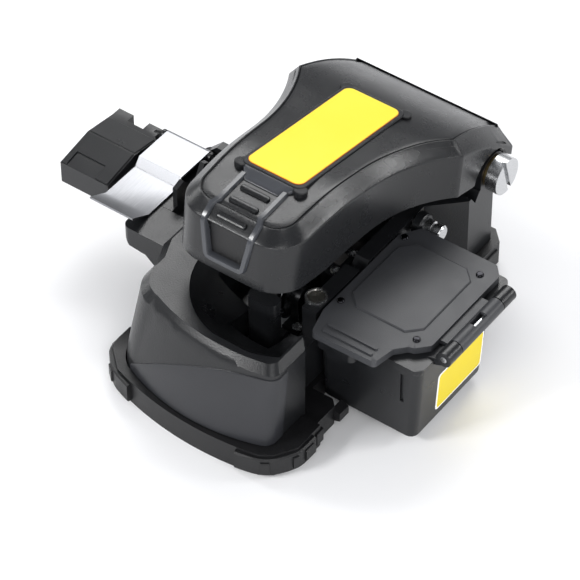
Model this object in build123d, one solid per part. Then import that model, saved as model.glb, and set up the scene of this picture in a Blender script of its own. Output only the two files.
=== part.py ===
# Fibre cleaver with an open lever, a fibre holder on its side rail and a scrap bin.
# Origin at the centre of the footprint, on the surface that the cleaver stands on.
# X runs along the fibre from the holder to the scrap bin, Y from the grip to the hinge, Z up.
from build123d import *
from math import atan2, cos, degrees, pi, sin, sqrt
import os

os.makedirs("parts", exist_ok=True)

# Driving dimensions in millimetres and degrees

# Cast body
body_half_width = 31.0
body_front_y = -51.0
body_rear_y = 59.0
body_flare = 5.5
shoulder_z = 34.0
deck_z = 36.5
deck_chamfer = 2.2
side_wall_x = 21.4
side_wall_inner_x = 16.5
side_wall_front_y = -29.0
side_wall_rear_y = 33.5
front_wall_x = body_half_width - 3.6
body_corner = 3.0
waist_x = 3.2 - body_half_width
hinge_well_front_y = 43.0
hinge_well_floor_z = 30.0

# Rubber tray under the body
tray_half_width = body_half_width + 3.0
tray_rear_y = body_rear_y + 1.5
tray_front_y = body_front_y - 7.2
tray_height = 8.5
tray_floor = 3.0
tray_inset = 1.6
tray_step = 1.0
bumper_reach = 22.0
tray_lip = 1.8
tray_notch_front_y = -25.0
seat_gap = 0.10

# Scooped dish in front of the mechanism
dish_radius = 34.0
dish_x = 10.0
dish_y = -19.0
dish_floor_z = 21.5
dish_rim_x = front_wall_x - 2.6

# Bay for the clamp pads and the groove for the blade carriage
bay_left_x = -13.0
bay_front_y = -22.0
bay_rear_y = 36.0
bay_floor_z = 18.0
groove_width = 14.4
groove_front_y = -33.0
groove_rear_y = 26.0
groove_floor_z = 6.5

# Fibre line and blade
fibre_y = 3.0
fibre_z = 32.0
blade_x = 6.0
blade_radius = 8.0
blade_thickness = 1.2
blade_bore = 2.5
blade_rest_y = -10.0
blade_travel = 20.0
blade_gap = 0.05

# Linear guide, slide and push knob
rail_width = 7.0
rail_height = 4.5
rail_front_y = -31.0
rail_rear_y = 21.8
slide_width = 13.0
slide_floor_gap = 1.2
slide_top_z = 15.0
foot_thickness = 2.6
upright_thickness = 3.0
blade_rise = 0.1
slide_front_y = -27.0
slide_rear_y = 2.0
running_gap = 0.05
stop_gap = 0.3
knob_x = 7.0
knob_width = 9.8
knob_front_y = -29.0
knob_depth = 5.0
knob_top_z = 36.6

# Lower and upper fibre clamps
clamp_left_x = 1.8
clamp_right_x = 10.4
clamp_depth = 13.0
left_clamp_width = 9.5
right_clamp_width = 5.8
pad_width = 4.0
pad_length = 5.0
pad_thickness = 1.4
pad_nip = 0.3
clamp_head_radius = 1.7
anvil_gap = 0.5
striker_gap = 0.3
striker_radius = 2.6
striker_x = 15.0

# Hinge of the lever
hinge_y = 55.0
hinge_z = 37.75
shaft_radius = 3.0
shaft_gap = 0.05
ear_inner_x = body_half_width - 3.6
ear_radius = 6.0
washer_thickness = 1.2
nut_thickness = 2.6
spring_wire = 1.2
spring_leg = 11.0
spring_steps = 12
hinge_screw_radius = 6.0
hinge_screw_head = 4.0
screw_slot_width = 1.5
screw_slot_angle = 16.0

# Lever, drawn closed and then opened by the rest angle
lever_rest_angle = 7.5
lever_front_y = -36.5
lever_rear_y = 66.0
lever_bottom_z = 37.2
lever_top_z = 60.8
lever_slope = 0.045
lever_crown_y = -12.0
lever_dome_y = 25.0
lever_rear_drop = 12.2
lever_front_drop = 4.6
lever_nose_half = 20.4
lever_waist_half = 21.5
lever_rear_half = body_half_width + 0.2
flare_start_y = 4.0
flare_length = 32.0
flare_end_radius = 8.0
lever_arch = 2.5
arch_front_y = -16.0
arch_rear_y = 44.0
lever_corner = 11.0
crown_rounding = 8.0
band_width = 4.8
lever_wall = 2.2
ear_cover_gap = 0.8
hood_z = 45.2
panel_half = 8.2
panel_depth = 0.8
panel_low_z = 41.0
panel_high_z = 51.5

# Frame plate inside the lever
frame_half_width = 16.8
frame_bottom_z = 43.0
frame_thickness = 3.0
frame_front_y = -28.0
frame_rear_y = 48.0
boss_radius = 5.6
boss_length = 9.0
boss_inner_x = 11.0
cover_post_radius = 3.1
bush_wall = 0.9

# Yellow plate and grip ridges on the lever
plate_width = 19.0
plate_length = 51.0
plate_thickness = 0.8
plate_front_y = -16.0
plate_rise = 0.3
bed_rise = 0.5
first_ridge_y = -23.9
ridge_length = 10.0
ridge_width = 1.9
ridge_height = 0.7
ridge_pitch = 5.3

# Holder on the side rail
arm_left_x = -body_half_width - 17.0
arm_front_y = -22.4
arm_rear_y = 20.5
arm_top_z = 31.0
channel_front_y = -9.3
channel_rear_y = 15.3
channel_floor_z = 27.0
holder_body_length = 18.0
holder_front_y = -12.5
holder_rear_y = 13.0
holder_bottom_z = 24.0
holder_ridge_z = 34.4
holder_ridge_y = 1.0
holder_gap = 0.10
runner_right_x = arm_left_x + 8.5
lid_length = 16.0
holder_left_x = runner_right_x - lid_length - 5.5 - holder_body_length
lid_thickness = 0.8
lid_front_y = -15.0
lid_hinge_y = 14.6
lid_hinge_z = 32.9
lid_pin_radius = 0.8
lid_tab = 7.5

# Scrap bin, its top frame and its flap
bin_gap = 1.0
bin_length = 35.4
bin_left_x = side_wall_x + bin_gap
bin_right_x = bin_left_x + bin_length
bin_front_y = -21.5
bin_rear_y = 15.5
bin_bottom_z = 3.6
bin_top_z = 29.8
bin_wall = 1.6
bin_draft = 1.5
bin_corner = 2.6
bin_corner_facets = 4
bin_post_radius = 2.6
frame_plate = 1.6
frame_head_radius = 1.7
frame_head_height = 0.7
flap_left_x = side_wall_x + 0.8
flap_right_x = bin_right_x - 2.3
flap_front_y = -15.5
flap_rear_y = 25.6
flap_top_z = 34.0
flap_thickness = 2.4
flap_tab_length = 23.8
flap_tab_right_x = flap_left_x + flap_tab_length
flap_tab_front_y = -27.6
flap_screw_x = flap_left_x + 2.0
flap_screw_y = -12.7
flap_screw_pitch_x = 26.4
flap_screw_pitch_y = 32.1
flap_hinge_x = bin_right_x + 3.2
flap_hinge_z = 33.4
knuckle_radius = 2.5
flap_pin_radius = 1.0
flap_hinge_front_y = -14.5
flap_hinge_rear_y = 19.0
end_knuckle = 6.0
knuckle_gap = 0.3
knuckle_window = 5.8
roller_radius = 3.0
roller_x = bin_left_x + 7.1
roller_length = 14.0
axle_radius = 1.0
flap_pad = 0.6
latch_gap = 0.3
flap_head_radius = 1.2
mouth_left_x = bin_left_x + 3.6
mouth_right_x = bin_right_x - 6.8
mouth_front_y = -10.5
mouth_rear_y = 13.2
bracket_width = 6.0

# Fasteners
screw_head_sides = 12
screw_shank_sides = 8
small_screw_radius = 1.0
small_head_radius = 1.9
small_head_height = 1.2
base_screw_radius = 1.5
base_head_radius = 2.8
base_head_height = 1.6
socket_share = 0.5
thread_gap = 0.02
head_gap = 0.1

# Magnet cup, holder magnets, bin catch and bin bracket
magnet_x = 17.6
magnet_y = -15.5
magnet_cup_radius = 3.3
magnet_cup_seat_z = 31.0
magnet_top_z = 34.4
holder_magnet_radius = 3.0
magnet_sides = 16
catch_pin_x = side_wall_x + 5.0
catch_pin_y = 29.0
catch_pin_z = 31.6
catch_pin_radius = 1.5
bracket_z = 22.0


# Shapes that come back


def block(x_low, x_high, y_low, y_high, z_low, z_high):
    """Box between two corners."""
    centre = Pos((x_low + x_high) / 2, (y_low + y_high) / 2, (z_low + z_high) / 2)
    return centre * Box(x_high - x_low, y_high - y_low, z_high - z_low)


def rod_x(radius, x_low, x_high, y, z):
    """Cylinder along X."""
    return Pos((x_low + x_high) / 2, y, z) * Rot(Y=90) * Cylinder(radius, x_high - x_low)


def rod_y(radius, y_low, y_high, x, z):
    """Cylinder along Y."""
    return Pos(x, (y_low + y_high) / 2, z) * Rot(X=90) * Cylinder(radius, y_high - y_low)


def rod_z(radius, z_low, z_high, x, y):
    """Cylinder along Z."""
    return Pos(x, y, (z_low + z_high) / 2) * Cylinder(radius, z_high - z_low)


def peg_x(radius, x_low, x_high, y, z, sides):
    """Faceted peg along X, for the fasteners that repeat and their holes."""
    return Pos(x_low, y, z) * Rot(Y=90) * extrude(RegularPolygon(radius, sides), amount=x_high - x_low)


def peg_z(radius, z_low, z_high, x, y, sides):
    """Faceted peg along Z, for the fasteners that repeat and their holes."""
    return Pos(x, y, z_low) * extrude(RegularPolygon(radius, sides), amount=z_high - z_low)


def shank_hole(z_low, z_high, x, y):
    """Hole along Z that a small screw's shank fills."""
    return peg_z(small_screw_radius + thread_gap, z_low, z_high, x, y, screw_shank_sides)


def head_hole(radius, z_low, z_high, x, y):
    """Counterbore along Z round a screw's head."""
    return peg_z(radius + head_gap, z_low, z_high, x, y, screw_head_sides)


def bar_x(points, x_low, x_high):
    """Bar along X whose section is a polygon of (y, z) points."""
    section = make_face(Polyline(*[(x_low, y, z) for y, z in points], close=True))
    return extrude(section, amount=x_high - x_low, dir=(1, 0, 0))


def bar_y(points, y_low, y_high):
    """Bar along Y whose section is a polygon of (x, z) points."""
    section = make_face(Polyline(*[(x, y_low, z) for x, z in points], close=True))
    return extrude(section, amount=y_high - y_low, dir=(0, 1, 0))


def plate_z(points, z_low, z_high):
    """Plate whose plan is a polygon of (x, y) points."""
    plan = make_face(Polyline(*[(x, y, z_low) for x, y in points], close=True))
    return extrude(plan, amount=z_high - z_low, dir=(0, 0, 1))


def screw_down(x, y, head_seat_z, head_radius, head_height, shank_radius, shank_length):
    """Hexagon-socket screw driven downwards, its head standing on head_seat_z."""
    top = head_seat_z + head_height
    head = peg_z(head_radius, head_seat_z, top, x, y, screw_head_sides)
    shank = peg_z(shank_radius, head_seat_z - shank_length, head_seat_z, x, y, screw_shank_sides)
    return head + shank - peg_z(head_radius * socket_share, top - head_height / 2, top, x, y, 6)


def smooth(value):
    """Smooth step from 0 to 1 between 0 and 1."""
    t = min(1.0, max(0.0, value))
    return t * t * (3 - 2 * t)


def save(name, shape):
    """Writes one node."""
    export_step(Compound(shape.solids()), f"parts/{name}.step")


# Rubber tray


def tray_outline(inset, z):
    """Plan of the tray, drawn inset from its bumpers, with an arched front edge."""
    half = tray_half_width - inset
    rear = tray_rear_y - inset
    front = tray_front_y + inset
    left_corner = (-half + 7.2, front + 5.4)
    left_side = (-half, front + 12.0)
    right_corner = (half - 7.6, front + 2.2)
    right_knee = (half - 4.0, front + 4.6)
    right_side = (half, front + 11.0)
    rear_cut = 4.0
    arch = ThreePointArc((*left_corner, z), (4.0, front, z), (*right_corner, z))
    notch_x = side_wall_x + tray_lip
    notch_rear = side_wall_rear_y + 1.0
    rest = Polyline(
        (*right_corner, z), (*right_knee, z), (*right_side, z), (half, tray_notch_front_y - 2.0, z),
        (half - 2.0, tray_notch_front_y, z), (notch_x, tray_notch_front_y, z), (notch_x, notch_rear, z),
        (half, notch_rear + half - notch_x, z), (half, rear - rear_cut, z),
        (half - rear_cut, rear, z), (-half + rear_cut, rear, z), (-half, rear - rear_cut, z),
        (*left_side, z), (*left_corner, z))
    return make_face(arch + rest)


def body_outline(flare, z, inset=0.0):
    """Plan of the casting at height z, flare 0 at the shoulder and 1 at the foot, shrunk by inset."""
    middle_y = (body_front_y + body_rear_y) / 2
    x_scale = 1 - inset / body_half_width
    y_scale = 1 - inset / (body_rear_y - middle_y)

    def place(x, y):
        return (x * x_scale, middle_y + (y - middle_y) * y_scale, z)

    front = body_front_y - body_flare * flare
    side = front_wall_x
    left_wall = place(waist_x - 2.6 * flare, body_front_y + 14.5 - 3.5 * flare)
    left_mid = place(waist_x + 2.4 - 3.0 * flare, body_front_y + 8.8 - 4.6 * flare)
    left_front = place(waist_x + 8.8 - 3.0 * flare, front + 5.2)
    front_mid = place(5.0 - 2.0 * flare, front)
    right_front = place(side - body_corner, front + 1.6 + 2.0 * flare)
    corner_mid = place(side - body_corner * 0.3, front + 1.9 + body_corner * 0.3 + 2.0 * flare)
    right_side = place(side, front + 1.6 + body_corner + 2.0 * flare)
    waist_low = place(waist_x - 2.2 * flare, body_front_y + 19.5 - 2.0 * flare)
    tower_front = side_wall_rear_y + body_half_width - side_wall_x
    corner = body_corner
    half = body_half_width
    rear = body_rear_y
    curve = ThreePointArc(left_wall, left_mid, left_front)
    curve += ThreePointArc(left_front, front_mid, right_front)
    curve += ThreePointArc(right_front, corner_mid, right_side)
    curve += Polyline(
        right_side, place(side, side_wall_front_y - 5.5), place(side_wall_x, side_wall_front_y),
        place(side_wall_x, side_wall_rear_y), place(half, tower_front), place(half, rear - corner),
        place(half - corner, rear), place(corner - half, rear), place(-half, rear - corner),
        place(-half, body_front_y + 27.0), waist_low, left_wall)
    return make_face(curve)


def make_tray():
    """Soft tray with four raised corner bumpers and a recess for the casting."""
    low = extrude(tray_outline(tray_inset, 0), amount=tray_height - tray_step, dir=(0, 0, 1))
    tall = extrude(tray_outline(0, 0), amount=tray_height, dir=(0, 0, 1))
    width = tray_half_width + 1
    middle = block(-width, width, tray_front_y + bumper_reach, tray_rear_y - bumper_reach, -1, tray_height + 1)
    tray = low + (tall - middle)
    recess = extrude(offset(body_outline(1, tray_floor), amount=seat_gap), amount=tray_height, dir=(0, 0, 1))
    tray -= recess
    for x, y in base_screw_places():
        tray -= peg_z(base_head_radius + 0.3, -1, tray_floor - 1.2, x, y, screw_head_sides)
        tray -= peg_z(base_screw_radius + seat_gap, 0, tray_floor + 1, x, y, screw_shank_sides)
    nub_y = tray_front_y + bumper_reach + 11.0
    tray += bar_y(
        [(tray_half_width - tray_inset - 0.5, 1.5), (tray_half_width + 0.6, 2.5),
         (tray_half_width + 0.6, 5.5), (tray_half_width - tray_inset - 0.5, 6.5)],
        nub_y - 2.2, nub_y + 2.2)
    return tray


def base_screw_places():
    """Places of the four screws that hold the tray to the casting."""
    reach = body_half_width - 7.0
    return [(x, y) for x in (-reach, reach) for y in (body_front_y + 9.0, body_rear_y - 9.0)]


def make_base_screws():
    """Screws driven upwards through the tray."""
    screws = []
    for x, y in base_screw_places():
        seat = tray_floor - 1.2
        screw = screw_down(
            0, 0, 0, base_head_radius, base_head_height, base_screw_radius, 9.0)
        screws.append(Pos(x, y, seat) * Rot(X=180) * screw)
    return Compound(screws)


# Casting


def ear(x_low, x_high):
    """Hinge ear that rises from a tower to the shaft."""
    foot_z = hinge_well_floor_z
    neck = bar_x(
        [(hinge_y - ear_radius, foot_z), (hinge_y + ear_radius * 0.6, foot_z),
         (hinge_y + ear_radius, hinge_z), (hinge_y - ear_radius, hinge_z)], x_low, x_high)
    return neck + rod_x(ear_radius, x_low, x_high, hinge_y, hinge_z)


def make_body():
    """Casting with its deck, dish, bay, carriage groove, hinge well and side arm."""
    knee_z = 12.0
    body = loft([body_outline(1, tray_floor), body_outline(0.9, knee_z)], ruled=True)
    body += loft([body_outline(0.9, knee_z), body_outline(0, shoulder_z)], ruled=True)
    body += loft([body_outline(0, shoulder_z), body_outline(0, deck_z, deck_chamfer)], ruled=True)

    # Side arm that carries the holder, with its swept underside
    arm = bar_y(
        [(arm_left_x, arm_top_z), (arm_left_x, arm_top_z - 4.0), (arm_left_x + 2.5, arm_top_z - 7.0),
         (arm_left_x + 8.5, arm_top_z - 7.6), (arm_left_x + 12.0, arm_top_z - 10.5),
         (-body_half_width - 1.6, arm_top_z - 19.0), (-body_half_width + 1.0, arm_top_z - 23.0),
         (-body_half_width + 1.0, arm_top_z)], arm_front_y, arm_rear_y)
    front_edges = arm.edges().filter_by(Axis.Z).group_by(Axis.X)[0]
    arm = fillet(front_edges, 2.5)
    body += arm
    rear_wall_y = arm_rear_y - 3.3
    wall = bar_x(
        [(rear_wall_y, arm_top_z - 1.0), (arm_rear_y, arm_top_z - 1.0), (arm_rear_y, arm_top_z + 4.0),
         (rear_wall_y, arm_top_z + 4.0)], arm_left_x + 1.0, -body_half_width + 1.0)
    wall -= Pos(arm_left_x + 1.0, arm_rear_y, arm_top_z + 4.0) * Rot(Y=45) * Box(6.0, 12.0, 6.0)
    body += wall

    # Low side wall beside the flap, and the hinge well between the ears
    body -= block(
        bay_left_x, body_half_width + 1, side_wall_front_y, hinge_y - ear_radius, shoulder_z, deck_z + 1)
    body -= block(
        -ear_inner_x, ear_inner_x, hinge_well_front_y, body_rear_y + 1, hinge_well_floor_z, deck_z + 1)
    body += ear(ear_inner_x, body_half_width)
    body += ear(-body_half_width, -ear_inner_x)
    body -= rod_x(shaft_radius + shaft_gap, -body_half_width - 1, body_half_width + 1, hinge_y, hinge_z)
    notch_y = hinge_well_front_y + 3.3
    body -= bar_x(
        [(notch_y - 2.2, shoulder_z + 0.1), (notch_y, shoulder_z - 3.2), (notch_y + 2.2, shoulder_z + 0.1)],
        ear_inner_x - 1, body_half_width + 1)

    # Dish, bay and groove
    scoop = Pos(dish_x, dish_y, dish_floor_z + dish_radius) * Sphere(dish_radius)
    window = block(-40, dish_rim_x, body_front_y + 4.5, bay_front_y + 1, 0, deck_z + 1)
    body -= scoop & window
    body -= block(bay_left_x, side_wall_inner_x, bay_front_y, bay_rear_y, bay_floor_z, deck_z + 1)
    body -= block(
        blade_x - groove_width / 2, blade_x + groove_width / 2, groove_front_y, groove_rear_y,
        groove_floor_z, deck_z + 1)

    # Channel for the holder and the slot that lets the fibre through the side wall
    body -= block(
        arm_left_x - 1, bay_left_x + 1, channel_front_y, channel_rear_y, channel_floor_z, deck_z + 5)
    body -= bar_x(
        [(fibre_y - 2.6, shoulder_z + 0.1), (fibre_y - 0.6, fibre_z - 0.9), (fibre_y + 0.6, fibre_z - 0.9),
         (fibre_y + 2.6, shoulder_z + 0.1)], side_wall_inner_x - 1, side_wall_x + 1)

    # Seats for the pieces that fasten to the casting
    body += rod_z(magnet_cup_radius, bay_floor_z, magnet_cup_seat_z, magnet_x, magnet_y)
    body -= rod_z(magnet_cup_radius + 0.02, magnet_cup_seat_z, deck_z, magnet_x, magnet_y)
    for x, y in base_screw_places():
        low = tray_floor - 0.1
        body -= peg_z(base_screw_radius + thread_gap, low, tray_floor + 8.2, x, y, screw_shank_sides)
    for x, y in clamp_screw_places():
        body -= shank_hole(bay_floor_z - 5.0, bay_floor_z + 0.1, x, y)
    for y in rail_screw_places():
        body -= shank_hole(tray_floor + 0.5, groove_floor_z + 0.1, blade_x, y)
    for x in holder_magnet_places():
        low = channel_floor_z - 2.0
        body -= peg_z(holder_magnet_radius + 0.05, low, channel_floor_z + 0.1, x, fibre_y, magnet_sides)
    pin_hole_x = side_wall_inner_x + 1.5
    body -= rod_x(catch_pin_radius + 0.02, pin_hole_x, side_wall_x + 1, catch_pin_y, catch_pin_z)
    for y in bracket_screw_places():
        radius = small_screw_radius + thread_gap
        body -= peg_x(radius, side_wall_x - 3.6, side_wall_x + 0.1, y, bracket_z, screw_shank_sides)
    return body


def clamp_screw_places():
    """Places of the screws under the two lower clamp blocks."""
    left = clamp_left_x - left_clamp_width / 2
    right = clamp_right_x + right_clamp_width - 1.8
    reach = clamp_depth / 2 - 2.1
    return [(x, fibre_y + side * reach) for x in (left, right) for side in (-1, 1)]


def rail_screw_places():
    """Places of the screws along the guide rail."""
    middle = (rail_front_y + rail_rear_y) / 2
    reach = (rail_rear_y - rail_front_y) / 2 - 5.0
    return [middle - reach, middle, middle + reach]


def holder_magnet_places():
    """Places of the magnets in the floor of the holder's channel."""
    return [arm_left_x + 13.0, arm_left_x + 24.0]


def bracket_screw_places():
    """Places of the screws of the bin bracket along Y."""
    return [-8.0, 4.0]


# Carriage with the blade


def make_rail():
    """Profiled guide rail with a waist on both sides."""
    half = rail_width / 2
    top = groove_floor_z + rail_height
    waist = half - 0.7
    half_section = [
        (half, groove_floor_z), (half, groove_floor_z + 1.2), (waist, groove_floor_z + 1.9),
        (waist, top - 1.9), (half, top - 1.2), (half, top - 0.3), (half - 0.3, top)]
    points = [(blade_x + x, z) for x, z in half_section]
    points += [(blade_x - x, z) for x, z in reversed(half_section)]
    rail = bar_y(points, rail_front_y, rail_rear_y)
    for y in rail_screw_places():
        rail -= head_hole(small_head_radius, top - small_head_height - 0.1, top + 1, blade_x, y)
        rail -= shank_hole(groove_floor_z - 1, top, blade_x, y)
    return rail


def make_rail_screws():
    """Screws sunk in the guide rail."""
    seat = groove_floor_z + rail_height - small_head_height - 0.1
    return Compound([
        screw_down(blade_x, y, seat, small_head_radius, small_head_height, small_screw_radius, 5.0)
        for y in rail_screw_places()])


def make_end_stop():
    """Rubber stop behind the rail, just past the end of the carriage's travel."""
    front = slide_rear_y + blade_travel + stop_gap
    half = slide_width / 2
    stop = block(blade_x - half, blade_x + half, front, groove_rear_y, groove_floor_z, slide_top_z)
    return stop - block(
        blade_x - rail_width / 2 - 0.3, blade_x + rail_width / 2 + 0.3, front - 1, rail_rear_y + 0.3,
        groove_floor_z - 1, groove_floor_z + rail_height + 0.3)


def make_slide():
    """Slide that straddles the rail, hooked under its waist."""
    half = slide_width / 2
    rail_top = groove_floor_z + rail_height
    gap = running_gap
    low = groove_floor_z + slide_floor_gap
    slide = block(blade_x - half, blade_x + half, slide_front_y, slide_rear_y, low, slide_top_z)
    reach = rail_width / 2 + gap
    waist = reach - 0.7
    half_section = [
        (reach, low - 1), (reach, groove_floor_z + 1.2 - gap), (waist, groove_floor_z + 1.9),
        (waist, rail_top - 1.9), (reach, rail_top - 1.2 - gap), (reach, rail_top + gap)]
    points = [(blade_x + x, z) for x, z in half_section]
    points += [(blade_x - x, z) for x, z in reversed(half_section)]
    slide -= bar_y(points, slide_front_y - 1, slide_rear_y + 1)
    for x, y in bracket_foot_screws() + knob_foot_screws():
        slide -= shank_hole(slide_top_z - 3.2, slide_top_z + 1, x, y)
    return chamfer(slide.edges().filter_by(Axis.Y).group_by(Axis.Z)[-1], 0.4)


def bracket_foot_screws():
    """Places of the screws that hold the blade bracket on the slide."""
    x = blade_x + slide_width / 2 - 1.6
    return [(x, blade_rest_y - 5.0), (x, blade_rest_y + 5.0)]


def knob_foot_screws():
    """Place of the screw in the foot of the push knob."""
    return [(blade_x, knob_front_y + knob_depth + 3.2)]


def make_bracket():
    """Bracket with a foot on the slide, an upright beside the blade and its arbor."""
    centre_z = blade_centre_z()
    face = blade_x + blade_thickness / 2 + blade_gap
    outer = blade_x + slide_width / 2 - 0.2
    foot_top = slide_top_z + foot_thickness
    foot = block(face, outer, blade_rest_y - 7.5, blade_rest_y + 7.5, slide_top_z, foot_top)
    upright = bar_x(
        [(blade_rest_y - 3.0, slide_top_z), (blade_rest_y + 3.0, slide_top_z),
         (blade_rest_y + 3.0, foot_top), (blade_rest_y + 3.6, centre_z),
         (blade_rest_y - 3.6, centre_z), (blade_rest_y - 3.0, foot_top)], face, face + upright_thickness)
    upright += rod_x(3.6, face, face + upright_thickness, blade_rest_y, centre_z)
    bracket = foot + upright
    arbor_end = blade_x - blade_thickness / 2 - blade_gap
    bracket += rod_x(blade_bore - blade_gap, arbor_end, face, blade_rest_y, centre_z)
    radius = small_screw_radius + thread_gap
    bracket -= peg_x(radius, arbor_end - 1, face + 2.2, blade_rest_y, centre_z, screw_shank_sides)
    for x, y in bracket_foot_screws():
        bracket -= head_hole(small_head_radius, foot_top - small_head_height - 0.1, foot_top + 1, x, y)
        bracket -= shank_hole(slide_top_z - 1, foot_top, x, y)
    return bracket


def blade_centre_z():
    """Height of the blade's axis, which puts its rim just above the pads."""
    return fibre_z + blade_rise - blade_radius


def make_blade():
    """Round blade, bevelled on both sides to a sharp rim."""
    bevel = 1.6
    half = blade_thickness / 2
    rim = 0.08
    section = make_face(Polyline(
        (0, blade_bore, 0), (0, blade_radius - bevel, 0), (half - rim, blade_radius, 0),
        (half + rim, blade_radius, 0), (blade_thickness, blade_radius - bevel, 0),
        (blade_thickness, blade_bore, 0), close=True))
    disc = revolve(section, axis=Axis.X, revolution_arc=360)
    return Pos(blade_x - half, blade_rest_y, blade_centre_z()) * disc


def make_blade_screw():
    """Slotted screw that clamps the blade's position from the left."""
    head_face = blade_x - blade_thickness / 2 - blade_gap
    centre_z = blade_centre_z()
    screw = rod_x(3.4, head_face - 1.1, head_face, blade_rest_y, centre_z)
    screw += peg_x(
        small_screw_radius, head_face, head_face + 3.2, blade_rest_y, centre_z, screw_shank_sides)
    return screw - block(
        head_face - 1.2, head_face - 0.6, blade_rest_y - 4, blade_rest_y + 4, centre_z - 0.4, centre_z + 0.4)


def make_carriage_screws():
    """Screws in the feet of the bracket and of the knob."""
    seat = slide_top_z + foot_thickness - small_head_height - 0.1
    return Compound([
        screw_down(x, y, seat, small_head_radius, small_head_height, small_screw_radius, 4.0)
        for x, y in bracket_foot_screws() + knob_foot_screws()])


def make_knob():
    """Push knob at the front of the carriage, rounded for the fingertip."""
    half = knob_width / 2
    rear = knob_front_y + knob_depth
    head = block(knob_x - half, knob_x + half, knob_front_y, rear, slide_top_z, knob_top_z)
    head = fillet(head.edges().filter_by(Axis.Z).group_by(Axis.Y)[0], 2.4)
    head = chamfer(head.edges().filter_by(Axis.Z).group_by(Axis.Y)[-1], 0.8)
    foot_top = slide_top_z + foot_thickness
    foot = block(blade_x - 3.6, blade_x + 3.6, rear - 1, rear + 5.6, slide_top_z, foot_top)
    knob = head + foot
    for x, y in knob_foot_screws():
        knob -= head_hole(small_head_radius, foot_top - small_head_height - 0.1, foot_top + 1, x, y)
        knob -= shank_hole(slide_top_z - 1, foot_top, x, y)
    return knob


# Lower clamps and the magnet


def clamp_block(x_low, x_high, pad_low):
    """Lower clamp block with a pocket for its pad and sunk screws."""
    top = fibre_z - 0.2
    half = clamp_depth / 2
    low_y = fibre_y - half
    high_y = fibre_y + half
    body = block(x_low, x_high, low_y, high_y, bay_floor_z, top)
    body = chamfer(body.edges().filter_by(Axis.X).group_by(Axis.Z)[-1], 0.8)
    pad_floor = fibre_z - pad_thickness
    reach = pad_length / 2
    body -= block(pad_low, pad_low + pad_width, fibre_y - reach, fibre_y + reach, pad_floor, top + 1)
    for x, y in clamp_screw_places():
        body -= shank_hole(bay_floor_z - 1, top, x, y)
        body -= head_hole(clamp_head_radius, clamp_head_seat(), top + 1, x, y)
    return body


def clamp_head_seat():
    """Height of the seat under the heads of the clamp screws."""
    return fibre_z - 0.4 - small_head_height


def make_clamp_screws():
    """Screws that hold both lower clamp blocks on the casting."""
    return Compound([
        screw_down(
            x, y, clamp_head_seat(), clamp_head_radius, small_head_height, small_screw_radius,
            clamp_head_seat() - bay_floor_z + 4.0)
        for x, y in clamp_screw_places()])


def lower_pad(x_low):
    """Rubber pad of a lower clamp."""
    half = pad_length / 2
    return block(x_low, x_low + pad_width, fibre_y - half, fibre_y + half, fibre_z - pad_thickness, fibre_z)


def make_magnet_cup():
    """Steel cup pressed into the casting."""
    cup = rod_z(magnet_cup_radius, magnet_cup_seat_z, magnet_top_z, magnet_x, magnet_y)
    return cup - rod_z(magnet_cup_radius - 0.6, magnet_cup_seat_z + 0.8, magnet_top_z + 1, magnet_x, magnet_y)


def make_magnet():
    """Magnet in the steel cup, a little below its rim."""
    return rod_z(magnet_cup_radius - 0.62, magnet_cup_seat_z + 0.8, magnet_top_z - 0.3, magnet_x, magnet_y)


# Hinge of the lever


def make_shaft():
    """Slotted shoulder screw that is the lever's shaft."""
    head_low = body_half_width + washer_thickness
    head_high = head_low + hinge_screw_head
    shaft = rod_x(shaft_radius, -body_half_width, head_low, hinge_y, hinge_z)
    shaft += rod_x(hinge_screw_radius, head_low, head_high, hinge_y, hinge_z)
    shaft += rod_x(shaft_radius - 0.8, -body_half_width - nut_thickness, -body_half_width, hinge_y, hinge_z)
    half = screw_slot_width / 2
    slot = block(head_high - 1.4, head_high + 1, -10, 10, -half, half)
    return shaft - Pos(0, hinge_y, hinge_z) * Rot(X=90 + screw_slot_angle) * slot


def make_hinge_washer():
    """Spring washer between the casting and the screw's head."""
    low = body_half_width
    ring = rod_x(hinge_screw_radius - 0.9, low, low + washer_thickness, hinge_y, hinge_z)
    return ring - rod_x(shaft_radius + shaft_gap, low - 1, low + 5, hinge_y, hinge_z)


def make_hinge_nut():
    """Hexagon nut on the shaft's left end."""
    low = -body_half_width - nut_thickness
    hexagon = extrude(RegularPolygon(4.0, 6), amount=nut_thickness)
    nut = Pos(low, hinge_y, hinge_z) * Rot(Y=90) * hexagon
    return nut - rod_x(shaft_radius - 0.8 + 0.02, low - 1, -body_half_width + 1, hinge_y, hinge_z)


def opened(shape):
    """Turns a piece of the lever from the closed drawing to its stored, open place."""
    turn = Pos(0, hinge_y, hinge_z) * Rot(X=-lever_rest_angle) * Pos(0, -hinge_y, -hinge_z)
    return turn * shape


# Lever, drawn closed


def lever_plan(inset):
    """Plan of the lever moved inwards by inset: round nose corners, curved flare, broad hinge end."""
    z = lever_bottom_z
    front = lever_front_y + inset
    rear = lever_rear_y - inset
    radius = lever_corner - inset
    waist = lever_waist_half - inset
    nose = lever_nose_half - inset
    hinge_end = lever_rear_half - inset
    flare_end_y = flare_start_y + flare_length
    arc_in = radius * (1 - sqrt(0.5))
    curve = Line((0, front, z), (nose - radius, front, z))
    curve += ThreePointArc(
        (nose - radius, front, z), (nose - arc_in, front + arc_in, z), (nose, front + radius, z))
    curve += Line((nose, front + radius, z), (waist, flare_start_y, z))
    curve += TangentArc(
        (waist, flare_start_y, z), (hinge_end, flare_end_y, z),
        tangent=(waist - nose, flare_start_y - front - radius, 0))
    curve += Polyline((hinge_end, flare_end_y, z), (hinge_end, rear, z), (0, rear, z), (0, front, z))
    half = make_face(curve)
    flare_end = [vertex for vertex in half.vertices() if abs(vertex.Y - flare_end_y) < 0.01]
    half = fillet(flare_end, flare_end_radius - inset)
    return half + mirror(half, Plane.YZ)


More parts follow.
